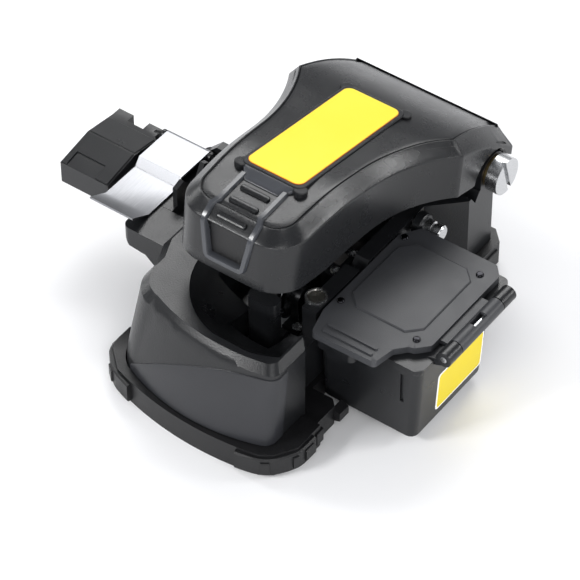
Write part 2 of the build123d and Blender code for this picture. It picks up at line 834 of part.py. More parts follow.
def lever_top(y):
    """Height of the lever's top along its middle, closed."""
    height = lever_top_z
    if y > lever_crown_y:
        height -= lever_slope * (y - lever_crown_y)
    else:
        height -= lever_front_drop * (lever_crown_y - y) / (lever_crown_y - lever_front_y)
    if y > lever_dome_y:
        height -= lever_rear_drop * ((y - lever_dome_y) / (lever_rear_y - lever_dome_y)) ** 2
    return height


def lever_solid(wall, bottom_z):
    """Lever's outer form, or its cavity when it is moved inwards by the wall."""
    blank = Pos(0, 0, bottom_z - lever_bottom_z) * extrude(lever_plan(wall), amount=40.0, dir=(0, 0, 1))
    front = lever_front_y - 5.0
    rear = lever_rear_y + 5.0

    def crest(y):
        return (0, y, lever_top(y) - wall)

    climb = lever_front_drop / (lever_crown_y - lever_front_y)
    rounding_start = lever_crown_y - crown_rounding
    rounding_end = lever_crown_y + crown_rounding
    crown = Line(crest(front), crest(rounding_start))
    crown += TangentArc(crest(rounding_start), crest(rounding_end), tangent=(0, 1, climb))
    crown += Line(crest(rounding_end), crest(lever_dome_y))
    crown += TangentArc(crest(lever_dome_y), crest(rear), tangent=(0, 1, -lever_slope))
    low = bottom_z - 5.0
    rest = Polyline(crest(rear), (0, rear, low), (0, front, low), crest(front))
    profile = extrude(make_face(crown + rest), amount=lever_rear_half + 5.0, dir=(1, 0, 0), both=True)
    solid = blank & profile
    tops = [face for face in solid.faces() if face.normal_at(face.center()).Z > 0.5]
    rims = []
    for edge in ShapeList([edge for face in tops for edge in face.edges()]):
        crosses_top = abs(edge.center().X) < 0.01 and edge.center().Y > lever_front_y + wall + 0.5
        if not crosses_top:
            rims.append(edge)
    return chamfer(rims, band_width - wall * 0.4)


def lever_screw_places():
    """Places of the screws between the frame plate and the cover."""
    return [(x, y) for x in (-12.5, 12.5) for y in (-20.0, 28.0)]


def plate_bed_z(y):
    """Height of the raised bed under the yellow plate."""
    return lever_top_z + bed_rise - lever_slope * (y - lever_crown_y)


def grip_ridge(y):
    """Raised finger ridge across the lever's nose."""
    ridge = Box(ridge_length, ridge_width, 2 * ridge_height)
    ridge = chamfer(ridge.edges().filter_by(Axis.Z), ridge_width * 0.3)
    edge_y = lever_front_y + band_width
    slope = degrees(atan2(lever_front_drop, lever_crown_y - lever_front_y))
    if y > edge_y:
        return Pos(0, y, lever_top(y)) * Rot(X=slope) * ridge
    return Pos(0, y, lever_top(edge_y) - edge_y + y) * Rot(X=45.0) * ridge


def make_cover():
    """Moulded cover of the lever, open below, with bosses for its screws."""
    cover = lever_solid(0.0, lever_bottom_z)
    bed_front = plate_front_y - 1.4
    bed_rear = plate_front_y + plate_length + 1.2
    bed_half = plate_width / 2 + 1.3
    bed = bar_x(
        [(bed_front, lever_top(bed_front) - 2), (bed_front, plate_bed_z(bed_front)),
         (bed_rear, plate_bed_z(bed_rear)), (bed_rear, lever_top(bed_rear) - 2)], -bed_half, bed_half)
    cover += bed
    for index in range(3):
        cover += grip_ridge(first_ridge_y - index * ridge_pitch)
    cover -= lever_solid(lever_wall, lever_bottom_z - 1)
    cover -= block(
        -panel_half, panel_half, lever_front_y - 1, lever_front_y + panel_depth, panel_low_z, panel_high_z)
    # Clearance round the hinge ears and under the hood behind them
    hood = lever_rear_half + 2
    for side in (-1, 1):
        low, high = sorted((side * (ear_inner_x - ear_cover_gap), side * hood))
        cover -= block(low, high, hinge_y - ear_radius - 4.0, lever_rear_y + 1, lever_bottom_z - 1, hood_z)
    cover -= block(-hood, hood, hinge_y + ear_radius, lever_rear_y + 1, lever_bottom_z - 1, hood_z - 2.0)
    for x, y in lever_screw_places():
        foot = frame_bottom_z + frame_thickness
        cover += peg_z(cover_post_radius, foot, lever_top(y) - lever_wall, x, y, screw_head_sides)
        cover -= shank_hole(frame_bottom_z, frame_bottom_z + 9.0, x, y)
    cover -= plate_recess()
    foot_z = lever_bottom_z - 0.01
    arch_middle_y = (arch_front_y + arch_rear_y) / 2
    arch = ThreePointArc(
        (-hood, arch_front_y, foot_z), (-hood, arch_middle_y, foot_z + lever_arch),
        (-hood, arch_rear_y, foot_z))
    arch += Line((-hood, arch_rear_y, foot_z), (-hood, arch_front_y, foot_z))
    cover -= extrude(make_face(arch), amount=2 * hood, dir=(1, 0, 0))
    return cover


def plate_recess():
    """Seat of the yellow plate in the cover."""
    half = plate_width / 2 + 0.02
    front = plate_front_y - 0.02
    rear = plate_front_y + plate_length + 0.02
    sink = plate_thickness - plate_rise
    return bar_x(
        [(front, plate_bed_z(front) - sink), (front, plate_bed_z(front) + 2),
         (rear, plate_bed_z(rear) + 2), (rear, plate_bed_z(rear) - sink)], -half, half)


def make_nameplate():
    """Bare yellow plate, a little proud of its bed."""
    half = plate_width / 2
    front = plate_front_y
    rear = plate_front_y + plate_length
    sink = plate_thickness - plate_rise
    plate = bar_x(
        [(front, plate_bed_z(front) - sink), (front, plate_bed_z(front) + plate_rise),
         (rear, plate_bed_z(rear) + plate_rise), (rear, plate_bed_z(rear) - sink)], -half, half)
    upright = [edge for edge in plate.edges() if abs(edge.length - plate_thickness) < 0.05]
    return fillet(upright, 1.6)


def make_lever_frame():
    """Steel plate inside the cover with two arms that end in hinge bosses."""
    top = frame_bottom_z + frame_thickness
    half = frame_half_width
    corner = 5.0
    plan = [
        (half - corner, frame_front_y), (half, frame_front_y + corner), (half, frame_rear_y),
        (-half, frame_rear_y), (-half, frame_front_y + corner), (corner - half, frame_front_y)]
    frame = plate_z(plan, frame_bottom_z, top)
    window = block(-9.0, 9.0, 16.0, 40.0, frame_bottom_z - 1, top + 1)
    frame -= fillet(window.edges().filter_by(Axis.Z), 3.0)
    for side in (-1, 1):
        low, high = sorted((side * boss_inner_x, side * (boss_inner_x + boss_length)))
        arm = bar_x(
            [(frame_rear_y - 6.0, frame_bottom_z + 0.5), (hinge_y - boss_radius * 0.7, hinge_z - 2.0),
             (hinge_y, hinge_z), (hinge_y + boss_radius * 0.7, hinge_z + 3.0),
             (frame_rear_y, top), (frame_rear_y - 6.0, top)], low, high)
        frame += arm + rod_x(boss_radius, low, high, hinge_y, hinge_z)
    frame -= rod_x(shaft_radius + bush_wall + 0.02, -half - 10, half + 10, hinge_y, hinge_z)
    for x, y in lever_screw_places():
        frame -= shank_hole(frame_bottom_z - 1, top + 1, x, y)
    frame -= shank_hole(frame_bottom_z - 1, top + 1, blade_x, fibre_y)
    frame -= shank_hole(frame_bottom_z - 1, top + 1, striker_x, magnet_y)
    return frame


def make_bushes():
    """Bronze bushes pressed into the hinge bosses."""
    bushes = []
    for side in (-1, 1):
        low, high = sorted((side * boss_inner_x, side * (boss_inner_x + boss_length)))
        bush = rod_x(shaft_radius + bush_wall, low, high, hinge_y, hinge_z)
        bushes.append(bush - rod_x(shaft_radius + shaft_gap, low - 1, high + 1, hinge_y, hinge_z))
    return Compound(bushes)


def make_spring():
    """Torsion spring coiled round the shaft, with a leg under the frame plate and one over the well."""
    wire = spring_wire / 2
    radius = shaft_radius + shaft_gap + 0.25 + wire
    turns = 4
    pitch = spring_wire * 1.25
    width = turns * pitch
    steps = turns * spring_steps
    path = Polyline(*[
        (radius * cos(2 * pi * step / spring_steps), radius * sin(2 * pi * step / spring_steps),
         width * step / steps) for step in range(steps + 1)])
    section = Plane(origin=path @ 0, z_dir=path % 0) * RegularPolygon(wire, 6)
    coil = sweep(section, path=path, transition=Transition.RIGHT)
    coil = Pos(-width / 2, hinge_y, hinge_z) * Rot(Y=90) * coil
    upper_end = hinge_z + radius
    lower_end = hinge_z - radius
    for x, z, lean in ((-width / 2, upper_end, 4.0), (width / 2, lower_end, 12.0)):
        leg = Rot(X=90) * extrude(RegularPolygon(wire, 6), amount=spring_leg)
        coil += Pos(x, hinge_y, z) * Rot(X=lean) * leg
    return coil


def make_anvil():
    """Anvil that bends the fibre over the scratch, on a stem under the frame plate."""
    tip_z = fibre_z + anvil_gap
    body = block(blade_x - 2.4, blade_x + 2.4, fibre_y - 3.5, fibre_y + 3.5, tip_z + 4.0, frame_bottom_z)
    tip = bar_y(
        [(blade_x - 2.4, tip_z + 4.0), (blade_x - 0.6, tip_z), (blade_x + 0.6, tip_z),
         (blade_x + 2.4, tip_z + 4.0)], fibre_y - 2.0, fibre_y + 2.0)
    anvil = body + tip
    return anvil - shank_hole(frame_bottom_z - 4.0, frame_bottom_z + 1, blade_x, fibre_y)


def upper_clamp(x_low, x_high):
    """Holder of an upper pad, under the frame plate."""
    low = fibre_z + pad_nip + pad_thickness
    half = pad_length / 2 + 0.9
    holder = block(x_low, x_high, fibre_y - half, fibre_y + half, low, frame_bottom_z)
    return holder


def upper_pad(x_low):
    """Rubber pad of an upper clamp."""
    low = fibre_z + pad_nip
    half = pad_length / 2
    return block(x_low, x_low + pad_width, fibre_y - half, fibre_y + half, low, low + pad_thickness)


def make_striker():
    """Steel post that the latch magnet holds when the lever is shut."""
    low = magnet_top_z + striker_gap
    post = rod_z(striker_radius, low, low + 1.6, striker_x, magnet_y)
    post += rod_z(striker_radius - 1.0, low + 1.6, frame_bottom_z, striker_x, magnet_y)
    hole_low = frame_bottom_z - 4.0
    return post - shank_hole(hole_low, frame_bottom_z + 1, striker_x, magnet_y)


def make_top_screws():
    """Screws from above that hold the anvil and the striker under the frame plate."""
    top = frame_bottom_z + frame_thickness
    return Compound([
        screw_down(x, y, top, small_head_radius, small_head_height, small_screw_radius, frame_thickness + 3.6)
        for x, y in ((blade_x, fibre_y), (striker_x, magnet_y))])


def make_lever_screws():
    """Screws from below that hold the frame plate to the cover."""
    screws = []
    for x, y in lever_screw_places():
        screw = screw_down(
            0, 0, 0, small_head_radius, small_head_height, small_screw_radius, frame_thickness + 5.0)
        screws.append(Pos(x, y, frame_bottom_z) * Rot(X=180) * screw)
    return Compound(screws)


# Fibre holder


def make_holder():
    """Holder with its roofed grip block, its runner, its V groove and its end guide."""
    right = holder_left_x + holder_body_length
    front_z = holder_ridge_z - 2.6
    rear_z = holder_ridge_z - 1.9
    grip = bar_x(
        [(holder_front_y, holder_bottom_z), (holder_front_y, front_z), (holder_ridge_y, holder_ridge_z),
         (holder_rear_y, rear_z), (holder_rear_y, holder_bottom_z)], holder_left_x, right)
    grip = chamfer(grip.edges().filter_by(Axis.Z).sort_by(Axis.X)[-1], 2.0)
    tail = holder_rear_y + 3.2
    grip += block(holder_left_x, holder_left_x + 5.5, holder_rear_y - 1, tail, holder_bottom_z + 2, rear_z)
    grip += block(right - 6.5, right - 1.5, holder_rear_y - 1, tail, holder_bottom_z + 2, rear_z)
    gap = holder_gap
    runner = block(
        right - 1, runner_right_x, channel_front_y + gap, channel_rear_y - gap,
        channel_floor_z + gap, arm_top_z)
    guide = bar_x(
        [(fibre_y - 9.5, arm_top_z - 1), (fibre_y + 6.0, arm_top_z - 1), (fibre_y + 6.0, arm_top_z + 6.0),
         (fibre_y + 4.0, arm_top_z + 7.0), (fibre_y + 0.5, fibre_z - 0.3), (fibre_y - 0.5, fibre_z - 0.3),
         (fibre_y - 6.0, arm_top_z + 7.5), (fibre_y - 9.5, arm_top_z + 6.5)],
        runner_right_x - 1.6, runner_right_x)
    holder = grip + runner + guide
    holder -= bar_x(
        [(fibre_y - 1.0, arm_top_z + 3), (fibre_y, arm_top_z - 0.9), (fibre_y + 1.0, arm_top_z + 3)],
        holder_left_x - 1, runner_right_x - 1.6)
    for x in (right + 0.0, right + 1.0 + lid_length + 2 * knuckle_gap):
        lug = block(x, x + 1.0, lid_hinge_y - 1.2, lid_hinge_y + 0.6, arm_top_z - 1, lid_hinge_z)
        lug += rod_x(lid_pin_radius + 0.8, x, x + 1.0, lid_hinge_y, lid_hinge_z)
        holder += lug
    bore_right = right + lid_length + 2 * knuckle_gap + 2.5
    holder -= rod_x(lid_pin_radius + 0.02, right - 3, bore_right, lid_hinge_y, lid_hinge_z)
    for x in holder_plate_places():
        disc_top = channel_floor_z + gap + 1.2
        holder -= peg_z(holder_magnet_radius + 0.05, channel_floor_z, disc_top, x, fibre_y, magnet_sides)
    return holder


def holder_plate_places():
    """Places of the steel discs under the runner, over the magnets of the channel."""
    return [holder_magnet_places()[0] - 8.5]


def lid_left_x():
    """Left edge of the holder's lid."""
    return holder_left_x + holder_body_length + 1.0 + knuckle_gap


def make_lid():
    """Sprung steel lid with a curled hinge, a step over the fibre and a finger tab."""
    low = lid_left_x()
    high = low + lid_length
    thick = lid_thickness
    seat = arm_top_z + 0.15
    top = lid_hinge_z + lid_pin_radius + shaft_gap
    step_y = fibre_y - 2.5
    outline = [
        (lid_hinge_y, top), (lid_hinge_y, top + thick), (step_y + 0.6, top + thick),
        (step_y - 1.4, seat + thick), (lid_front_y, seat + thick),
        (lid_front_y - lid_tab, seat + thick + 4.0), (lid_front_y - lid_tab, seat + 4.0),
        (lid_front_y + 0.3, seat), (step_y - 1.0, seat), (step_y + 0.8, top)]
    lid = bar_x(outline, low, high)
    lid += rod_x(lid_pin_radius + shaft_gap + thick, low, high, lid_hinge_y, lid_hinge_z)
    return lid - rod_x(lid_pin_radius + shaft_gap, low - 1, high + 1, lid_hinge_y, lid_hinge_z)


def make_lid_pin():
    """Pin of the holder's lid."""
    low = holder_left_x + holder_body_length
    return rod_x(lid_pin_radius, low, low + lid_length + 2 + 2 * knuckle_gap, lid_hinge_y, lid_hinge_z)


# Scrap bin


def bin_plan(inset, z, draft):
    """Plan of the bin at one height, moved inwards by inset, each corner rounded in a few facets."""
    low_x = bin_left_x + inset + draft
    high_x = bin_right_x - inset - draft
    low_y = bin_front_y + inset
    high_y = bin_rear_y - inset - draft
    radius = bin_corner - inset
    points = []
    for quarter, (x, y) in enumerate((
            (high_x - radius, high_y - radius), (low_x + radius, high_y - radius),
            (low_x + radius, low_y + radius), (high_x - radius, low_y + radius))):
        for step in range(bin_corner_facets + 1):
            angle = (quarter + step / bin_corner_facets) * pi / 2
            points.append((x + radius * cos(angle), y + radius * sin(angle), z))
    return make_face(Polyline(*points, close=True))


def bin_box(inset, z_low, z_high):
    """Drafted box with rounded corners, moved inwards by inset."""
    return loft([bin_plan(inset, z_low, bin_draft), bin_plan(inset, z_high, 0)], ruled=True)


def make_bin():
    """Drafted box for the cut ends, open at the top."""
    box = bin_box(0, bin_bottom_z, bin_top_z) - bin_box(bin_wall, bin_bottom_z + bin_wall, bin_top_z + 0.01)
    for x, y in frame_screw_places():
        box += peg_z(bin_post_radius, bin_top_z - 7.0, bin_top_z, x, y, screw_head_sides)
        box -= shank_hole(bin_top_z - 6.5, bin_top_z + 1, x, y)
    groove_x = bin_right_x - 6.5
    groove_rear = bin_front_y + 0.7
    box -= block(groove_x, groove_x + 1.2, bin_front_y - 1, groove_rear, bin_top_z - 13.0, bin_top_z - 2.0)
    for y in bracket_screw_places():
        box -= block(
            bin_left_x - 1, bin_left_x + bin_wall + 2, y - bracket_width / 2 - seat_gap,
            y + bracket_width / 2 + seat_gap, bracket_z - 6.0 - seat_gap, bin_top_z + 1)
    return box


def make_bracket_plate():
    """Two hooks on the casting that the bin hangs on."""
    hooks = []
    for y in bracket_screw_places():
        half = bracket_width / 2
        hook = block(side_wall_x, bin_left_x + bin_wall, y - half, y + half, bracket_z - 6.0, bracket_z + 4.0)
        seat = bin_left_x + bin_wall - small_head_height - 0.1
        end = bin_left_x + bin_wall + 1
        hook -= peg_x(small_head_radius + head_gap, seat, end, y, bracket_z, screw_head_sides)
        hook -= peg_x(small_screw_radius + thread_gap, side_wall_x - 1, end, y, bracket_z, screw_shank_sides)
        hooks.append(hook)
    return Compound(hooks)


def make_bracket_screws():
    """Screws of the bin hooks."""
    seat = bin_left_x + bin_wall - small_head_height - 0.1
    screws = []
    for y in bracket_screw_places():
        screw = screw_down(0, 0, 0, small_head_radius, small_head_height, small_screw_radius, 4.6)
        screws.append(Pos(seat, y, bracket_z) * Rot(Y=90) * screw)
    return Compound(screws)


def make_bin_frame():
    """Frame on the bin with the mouth, the roller's bearings and the outer hinge knuckles."""
    top = bin_top_z + frame_plate
    left = bin_left_x
    frame = block(left, bin_right_x, bin_front_y, flap_rear_y - 0.6, bin_top_z, top)
    frame = fillet(frame.edges().filter_by(Axis.Z), 2.4)
    mouth = block(mouth_left_x, mouth_right_x, mouth_front_y, mouth_rear_y, bin_top_z - 1, top + 1)
    frame -= fillet(mouth.edges().filter_by(Axis.Z), 2.0)
    for low in (flap_hinge_front_y, flap_hinge_rear_y - end_knuckle):
        knuckle = rod_y(knuckle_radius, low, low + end_knuckle, flap_hinge_x, flap_hinge_z)
        arm = bar_y(
            [(bin_right_x - 3.0, bin_top_z), (bin_right_x, bin_top_z), (flap_hinge_x + 1.6, flap_hinge_z - 1.6),
             (flap_hinge_x, flap_hinge_z), (bin_right_x - 3.0, top)], low, low + end_knuckle)
        frame += knuckle + arm
    bore = flap_pin_radius + 0.02
    frame -= rod_y(bore, flap_hinge_front_y - 1, flap_hinge_rear_y + 1, flap_hinge_x, flap_hinge_z)
    for y in (roller_front_y() - 1.9, roller_front_y() + roller_length + 0.3):
        lug = block(roller_x - 2.2, roller_x + 2.2, y, y + 1.6, roller_z() - 2.0, top - 0.01)
        frame += lug
        frame -= rod_y(axle_radius + shaft_gap, y - 0.1, y + 1.7, roller_x, roller_z())
    for x, y in frame_screw_places():
        frame -= shank_hole(bin_top_z - 1, top + 1, x, y)
        frame -= head_hole(frame_head_radius, top - frame_head_height - 0.1, top + 1, x, y)
    return frame


def roller_z():
    """Height of the roller's axis, which puts its top at the flap's pad."""
    return flap_top_z - flap_thickness - flap_pad - 0.05 - roller_radius


def roller_front_y():
    """Front end of the roller."""
    return fibre_y - roller_length / 2


def make_roller():
    """Rubber feed roller."""
    high = roller_front_y() + roller_length
    roller = rod_y(roller_radius, roller_front_y(), high, roller_x, roller_z())
    return roller - rod_y(axle_radius, roller_front_y() - 1, high + 1, roller_x, roller_z())


def make_roller_axle():
    """Steel axle of the feed roller."""
    return rod_y(
        axle_radius, roller_front_y() - 1.9, roller_front_y() + roller_length + 1.9, roller_x, roller_z())


def frame_screw_places():
    """Places of the screws between the frame and the bin."""
    return [(flap_tab_right_x - 2.5, bin_front_y + 3.4), (bin_right_x - 4.0, bin_rear_y - 2.8)]


def make_flap():
    """Flap over the bin, with its finger tab, ridges, waist and middle knuckle."""
    low = flap_top_z - flap_thickness
    half = (flap_right_x - flap_left_x) / 2
    plan = [
        (flap_left_x, flap_rear_y - 6.1), (flap_left_x, flap_front_y - 3.0),
        (flap_left_x + 2.4, flap_tab_front_y), (flap_tab_right_x, flap_tab_front_y + 0.5),
        (flap_tab_right_x + 1.4, flap_front_y - 4.2), (flap_tab_right_x + 4.4, flap_front_y - 0.8),
        (flap_right_x - 3.4, flap_front_y - 0.4), (flap_right_x, flap_front_y + 3.4),
        (flap_right_x, flap_rear_y - 3.4), (flap_right_x - 3.0, flap_rear_y),
        (flap_left_x + 4.0, flap_rear_y)]
    flap = plate_z(plan, low, flap_top_z)
    flap = fillet(flap.edges().filter_by(Axis.Z), 1.4)
    knuckle_low = flap_hinge_front_y + end_knuckle + knuckle_gap
    knuckle_high = flap_hinge_rear_y - end_knuckle - knuckle_gap
    flap += rod_y(knuckle_radius, knuckle_low, knuckle_high, flap_hinge_x, flap_hinge_z)
    flap += block(flap_right_x - 1, flap_hinge_x, knuckle_low, knuckle_high, low, low + 1.6)
    flap -= rod_y(flap_pin_radius + shaft_gap, knuckle_low - 1, knuckle_high + 1, flap_hinge_x, flap_hinge_z)
    middle = (knuckle_low + knuckle_high) / 2
    window_half = flap_pin_radius + 0.2
    flap -= block(
        flap_hinge_x - window_half, flap_hinge_x + window_half, middle - knuckle_window * 0.4,
        middle + knuckle_window * 0.6, flap_hinge_z, flap_hinge_z + knuckle_radius + 1)
    for y in (flap_tab_front_y + 2.6, flap_tab_front_y + 5.2):
        ridge = block(
            flap_left_x + 4.5, flap_tab_right_x - 2.0, y - 0.6, y + 0.6, flap_top_z - 0.5, flap_top_z + 0.5)
        flap += chamfer(ridge.edges().filter_by(Axis.Z), 0.4)
    for x, y in flap_screw_places():
        flap -= shank_hole(low - 1, flap_top_z + 1, x, y)
    return flap


def flap_screw_places():
    """Places of the four screws of the flap."""
    return [
        (flap_screw_x + column * flap_screw_pitch_x, flap_screw_y + row * flap_screw_pitch_y)
        for column in (0, 1) for row in (0, 1)]


def make_flap_screws():
    """Domed screws of the flap."""
    screws = []
    for x, y in flap_screw_places():
        head = peg_z(flap_head_radius, flap_top_z, flap_top_z + 0.6, x, y, screw_head_sides)
        head = chamfer(head.edges().group_by(Axis.Z)[-1], 0.3)
        low = flap_top_z - flap_thickness
        screws.append(head + peg_z(small_screw_radius, low, flap_top_z, x, y, screw_shank_sides))
    return Compound(screws)


def make_flap_pad():
    """Rubber strip under the flap that presses the fibre on the roller."""
    low = flap_top_z - flap_thickness - flap_pad
    return block(
        roller_x - 2.6, roller_x + 2.6, roller_front_y(), roller_front_y() + roller_length,
        low, low + flap_pad)


def make_finger_latch():
    """Catch under the flap's finger tab, with the hook that grips the frame's front edge."""
    top = flap_top_z - flap_thickness
    rear = bin_front_y - latch_gap
    body = block(flap_left_x + 2.6, flap_tab_right_x - 8.0, flap_tab_front_y + 1.4, rear, top - 4.4, top)
    body = fillet(body.edges().filter_by(Axis.Z).group_by(Axis.Y)[0], 2.0)
    hook_low = bin_top_z - latch_gap - 1.2
    hook = block(flap_left_x + 8.0, flap_left_x + 13.0, rear - 1.6, rear, hook_low - 2.6, top)
    return body + hook


def make_flap_pin():
    """Pin through the three knuckles."""
    return rod_y(flap_pin_radius, flap_hinge_front_y, flap_hinge_rear_y, flap_hinge_x, flap_hinge_z)


def make_frame_screws():
    """Screws between the frame and the bin."""
    seat = bin_top_z + frame_plate - frame_head_height - 0.1
    return Compound([
        screw_down(x, y, seat, frame_head_radius, frame_head_height, small_screw_radius, 6.0)
        for x, y in frame_screw_places()])


def make_catch_pin():
    """Steel catch pin pressed into the casting, with a collar near its nose."""
    low = side_wall_inner_x + 1.5
    pin = rod_x(catch_pin_radius, low, catch_pin_x + 4.0, catch_pin_y, catch_pin_z)
    collar = rod_x(catch_pin_radius + 0.5, catch_pin_x + 0.6, catch_pin_x + 3.4, catch_pin_y, catch_pin_z)
    return pin + collar


def make_holder_magnets():
    """Magnets in the floor of the holder's channel."""
    return Compound([
        peg_z(holder_magnet_radius, channel_floor_z - 2.0, channel_floor_z, x, fibre_y, magnet_sides)
        for x in holder_magnet_places()])


def make_holder_discs():
    """Steel discs under the holder's runner."""
    low = channel_floor_z + holder_gap
    return Compound([
        peg_z(holder_magnet_radius, low, low + 1.2, x, fibre_y, magnet_sides)
        for x in holder_plate_places()])


# Casting and its fixed pieces
save("rubber_base", make_tray())
save("main_body", make_body())
save("base_screws", make_base_screws())
save("guide_rail", make_rail())
save("rail_screws", make_rail_screws())
save("end_stop", make_end_stop())
right_block_x = clamp_right_x + right_clamp_width
left_block_x = clamp_left_x - left_clamp_width
save("left_clamp_block", clamp_block(left_block_x, clamp_left_x, clamp_left_x - pad_width))
save("right_clamp_block", clamp_block(clamp_right_x, right_block_x, clamp_right_x))
save("clamp_screws", make_clamp_screws())
save("left_lower_pad", lower_pad(clamp_left_x - pad_width))
save("right_lower_pad", lower_pad(clamp_right_x))
save("magnet_cup", make_magnet_cup())
save("latch_magnet", make_magnet())
save("hinge_shaft", make_shaft())
save("hinge_washer", make_hinge_washer())
save("hinge_nut", make_hinge_nut())
save("holder_magnets", make_holder_magnets())
save("bin_catch_pin", make_catch_pin())
save("bin_hooks", make_bracket_plate())
save("hook_screws", make_bracket_screws())

# Carriage and blade
save("slide_block", make_slide())
save("blade_bracket", make_bracket())
save("blade_screw", make_blade_screw())
save("carriage_screws", make_carriage_screws())
save("push_knob", make_knob())
save("blade_wheel", make_blade())

# Lever
save("lever_cover", opened(make_cover()))
save("nameplate", opened(make_nameplate()))
save("lever_frame", opened(make_lever_frame()))
save("hinge_bushes", opened(make_bushes()))
save("hinge_spring", opened(make_spring()))
save("anvil", opened(make_anvil()))
save("left_upper_clamp", opened(upper_clamp(clamp_left_x - pad_width - 1.4, clamp_left_x)))
save("right_upper_clamp", opened(upper_clamp(clamp_right_x, clamp_right_x + pad_width + 1.0)))
save("left_upper_pad", opened(upper_pad(clamp_left_x - pad_width)))
save("right_upper_pad", opened(upper_pad(clamp_right_x)))
save("striker", opened(make_striker()))
save("top_screws", opened(make_top_screws()))
save("lever_screws", opened(make_lever_screws()))

# Fibre holder
save("holder_body", make_holder())
save("holder_discs", make_holder_discs())
save("lid_pin", make_lid_pin())
save("holder_lid", make_lid())

# Scrap bin and flap
save("scrap_bin", make_bin())
save("bin_frame", make_bin_frame())
save("frame_screws", make_frame_screws())
save("flap_pin", make_flap_pin())
save("feed_roller", make_roller())
save("roller_axle", make_roller_axle())
save("flap", make_flap())
save("flap_screws", make_flap_screws())
save("flap_pad", make_flap_pad())
save("finger_latch", make_finger_latch())
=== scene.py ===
import math

import bmesh
import bpy
import numpy as np
from mathutils import Matrix, Vector


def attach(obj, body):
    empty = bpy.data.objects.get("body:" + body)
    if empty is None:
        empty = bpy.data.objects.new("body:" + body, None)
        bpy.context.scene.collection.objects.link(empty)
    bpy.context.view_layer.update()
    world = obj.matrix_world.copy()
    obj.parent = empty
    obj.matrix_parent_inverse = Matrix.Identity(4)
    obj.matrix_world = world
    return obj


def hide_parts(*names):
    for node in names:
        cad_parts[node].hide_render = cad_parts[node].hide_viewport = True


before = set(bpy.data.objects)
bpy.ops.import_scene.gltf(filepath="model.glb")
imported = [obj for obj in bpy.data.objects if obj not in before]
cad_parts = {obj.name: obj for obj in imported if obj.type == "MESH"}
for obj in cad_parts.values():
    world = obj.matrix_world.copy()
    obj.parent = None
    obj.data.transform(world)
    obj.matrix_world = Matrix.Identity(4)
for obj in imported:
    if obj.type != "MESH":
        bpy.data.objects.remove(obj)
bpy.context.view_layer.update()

mm = 0.001


# sRGB hex to linear: each channel is the sRGB curve undone
def linear(hexColour):
    srgb = np.array([int(hexColour[i:i + 2], 16) for i in (1, 3, 5)]) / 255.0
    flat = np.where(srgb <= 0.04045, srgb / 12.92, ((srgb + 0.055) / 1.055) ** 2.4)
    return (*(float(v) for v in flat), 1.0)


# adds a node, sets its inputs and properties, and links sockets into it
def addNode(tree, kind, inputs=None, **settings):
    node = tree.nodes.new(kind)
    for name, value in settings.items():
        setattr(node, name, value)
    for name, value in (inputs or {}).items():
        if isinstance(value, bpy.types.NodeSocket):
            tree.links.new(value, node.inputs[name])
        else:
            node.inputs[name].default_value = value
    return node


# ---- materials

# A moulded, cast or coated surface: two noises, one for cloudy tone and one for the grain's bump.
def grainedSurface(name, look):
    material = bpy.data.materials.new(name)
    material.use_nodes = True
    tree = material.node_tree
    shader = tree.nodes["Principled BSDF"]
    place = addNode(tree, "ShaderNodeTexCoord").outputs["Object"]
    perMetre = 1.0 / mm
    cloud = addNode(tree, "ShaderNodeTexNoise", {
        "Vector": place, "Scale": perMetre / look["cloudMm"], "Detail": 3.0, "Roughness": 0.55})
    grain = addNode(tree, "ShaderNodeTexNoise", {
        "Vector": place, "Scale": perMetre / look["grainMm"], "Detail": 2.0, "Roughness": 0.6})
    tone = addNode(tree, "ShaderNodeMix", {
        "Factor": cloud.outputs["Fac"], "A": linear(look["dark"]), "B": linear(look["light"])},
        data_type="RGBA")
    tree.links.new(tone.outputs["Result"], shader.inputs["Base Color"])
    gloss = addNode(tree, "ShaderNodeMapRange", {
        "Value": cloud.outputs["Fac"], "From Min": 0.3, "From Max": 0.7,
        "To Min": look["roughness"] - look["roughnessSpread"],
        "To Max": look["roughness"] + look["roughnessSpread"]})
    tree.links.new(gloss.outputs["Result"], shader.inputs["Roughness"])
    bump = addNode(tree, "ShaderNodeBump", {
        "Height": grain.outputs["Fac"], "Strength": look["bump"], "Distance": look["grainMm"] * mm})
    tree.links.new(bump.outputs["Normal"], shader.inputs["Normal"])
    shader.inputs["Metallic"].default_value = look.get("metallic", 0.0)
    if "ior" in look:
        shader.inputs["IOR"].default_value = look["ior"]
    if "coat" in look:
        shader.inputs["Coat Weight"].default_value = look["coat"]
        shader.inputs["Coat Roughness"].default_value = look["coatRoughness"]
    return material


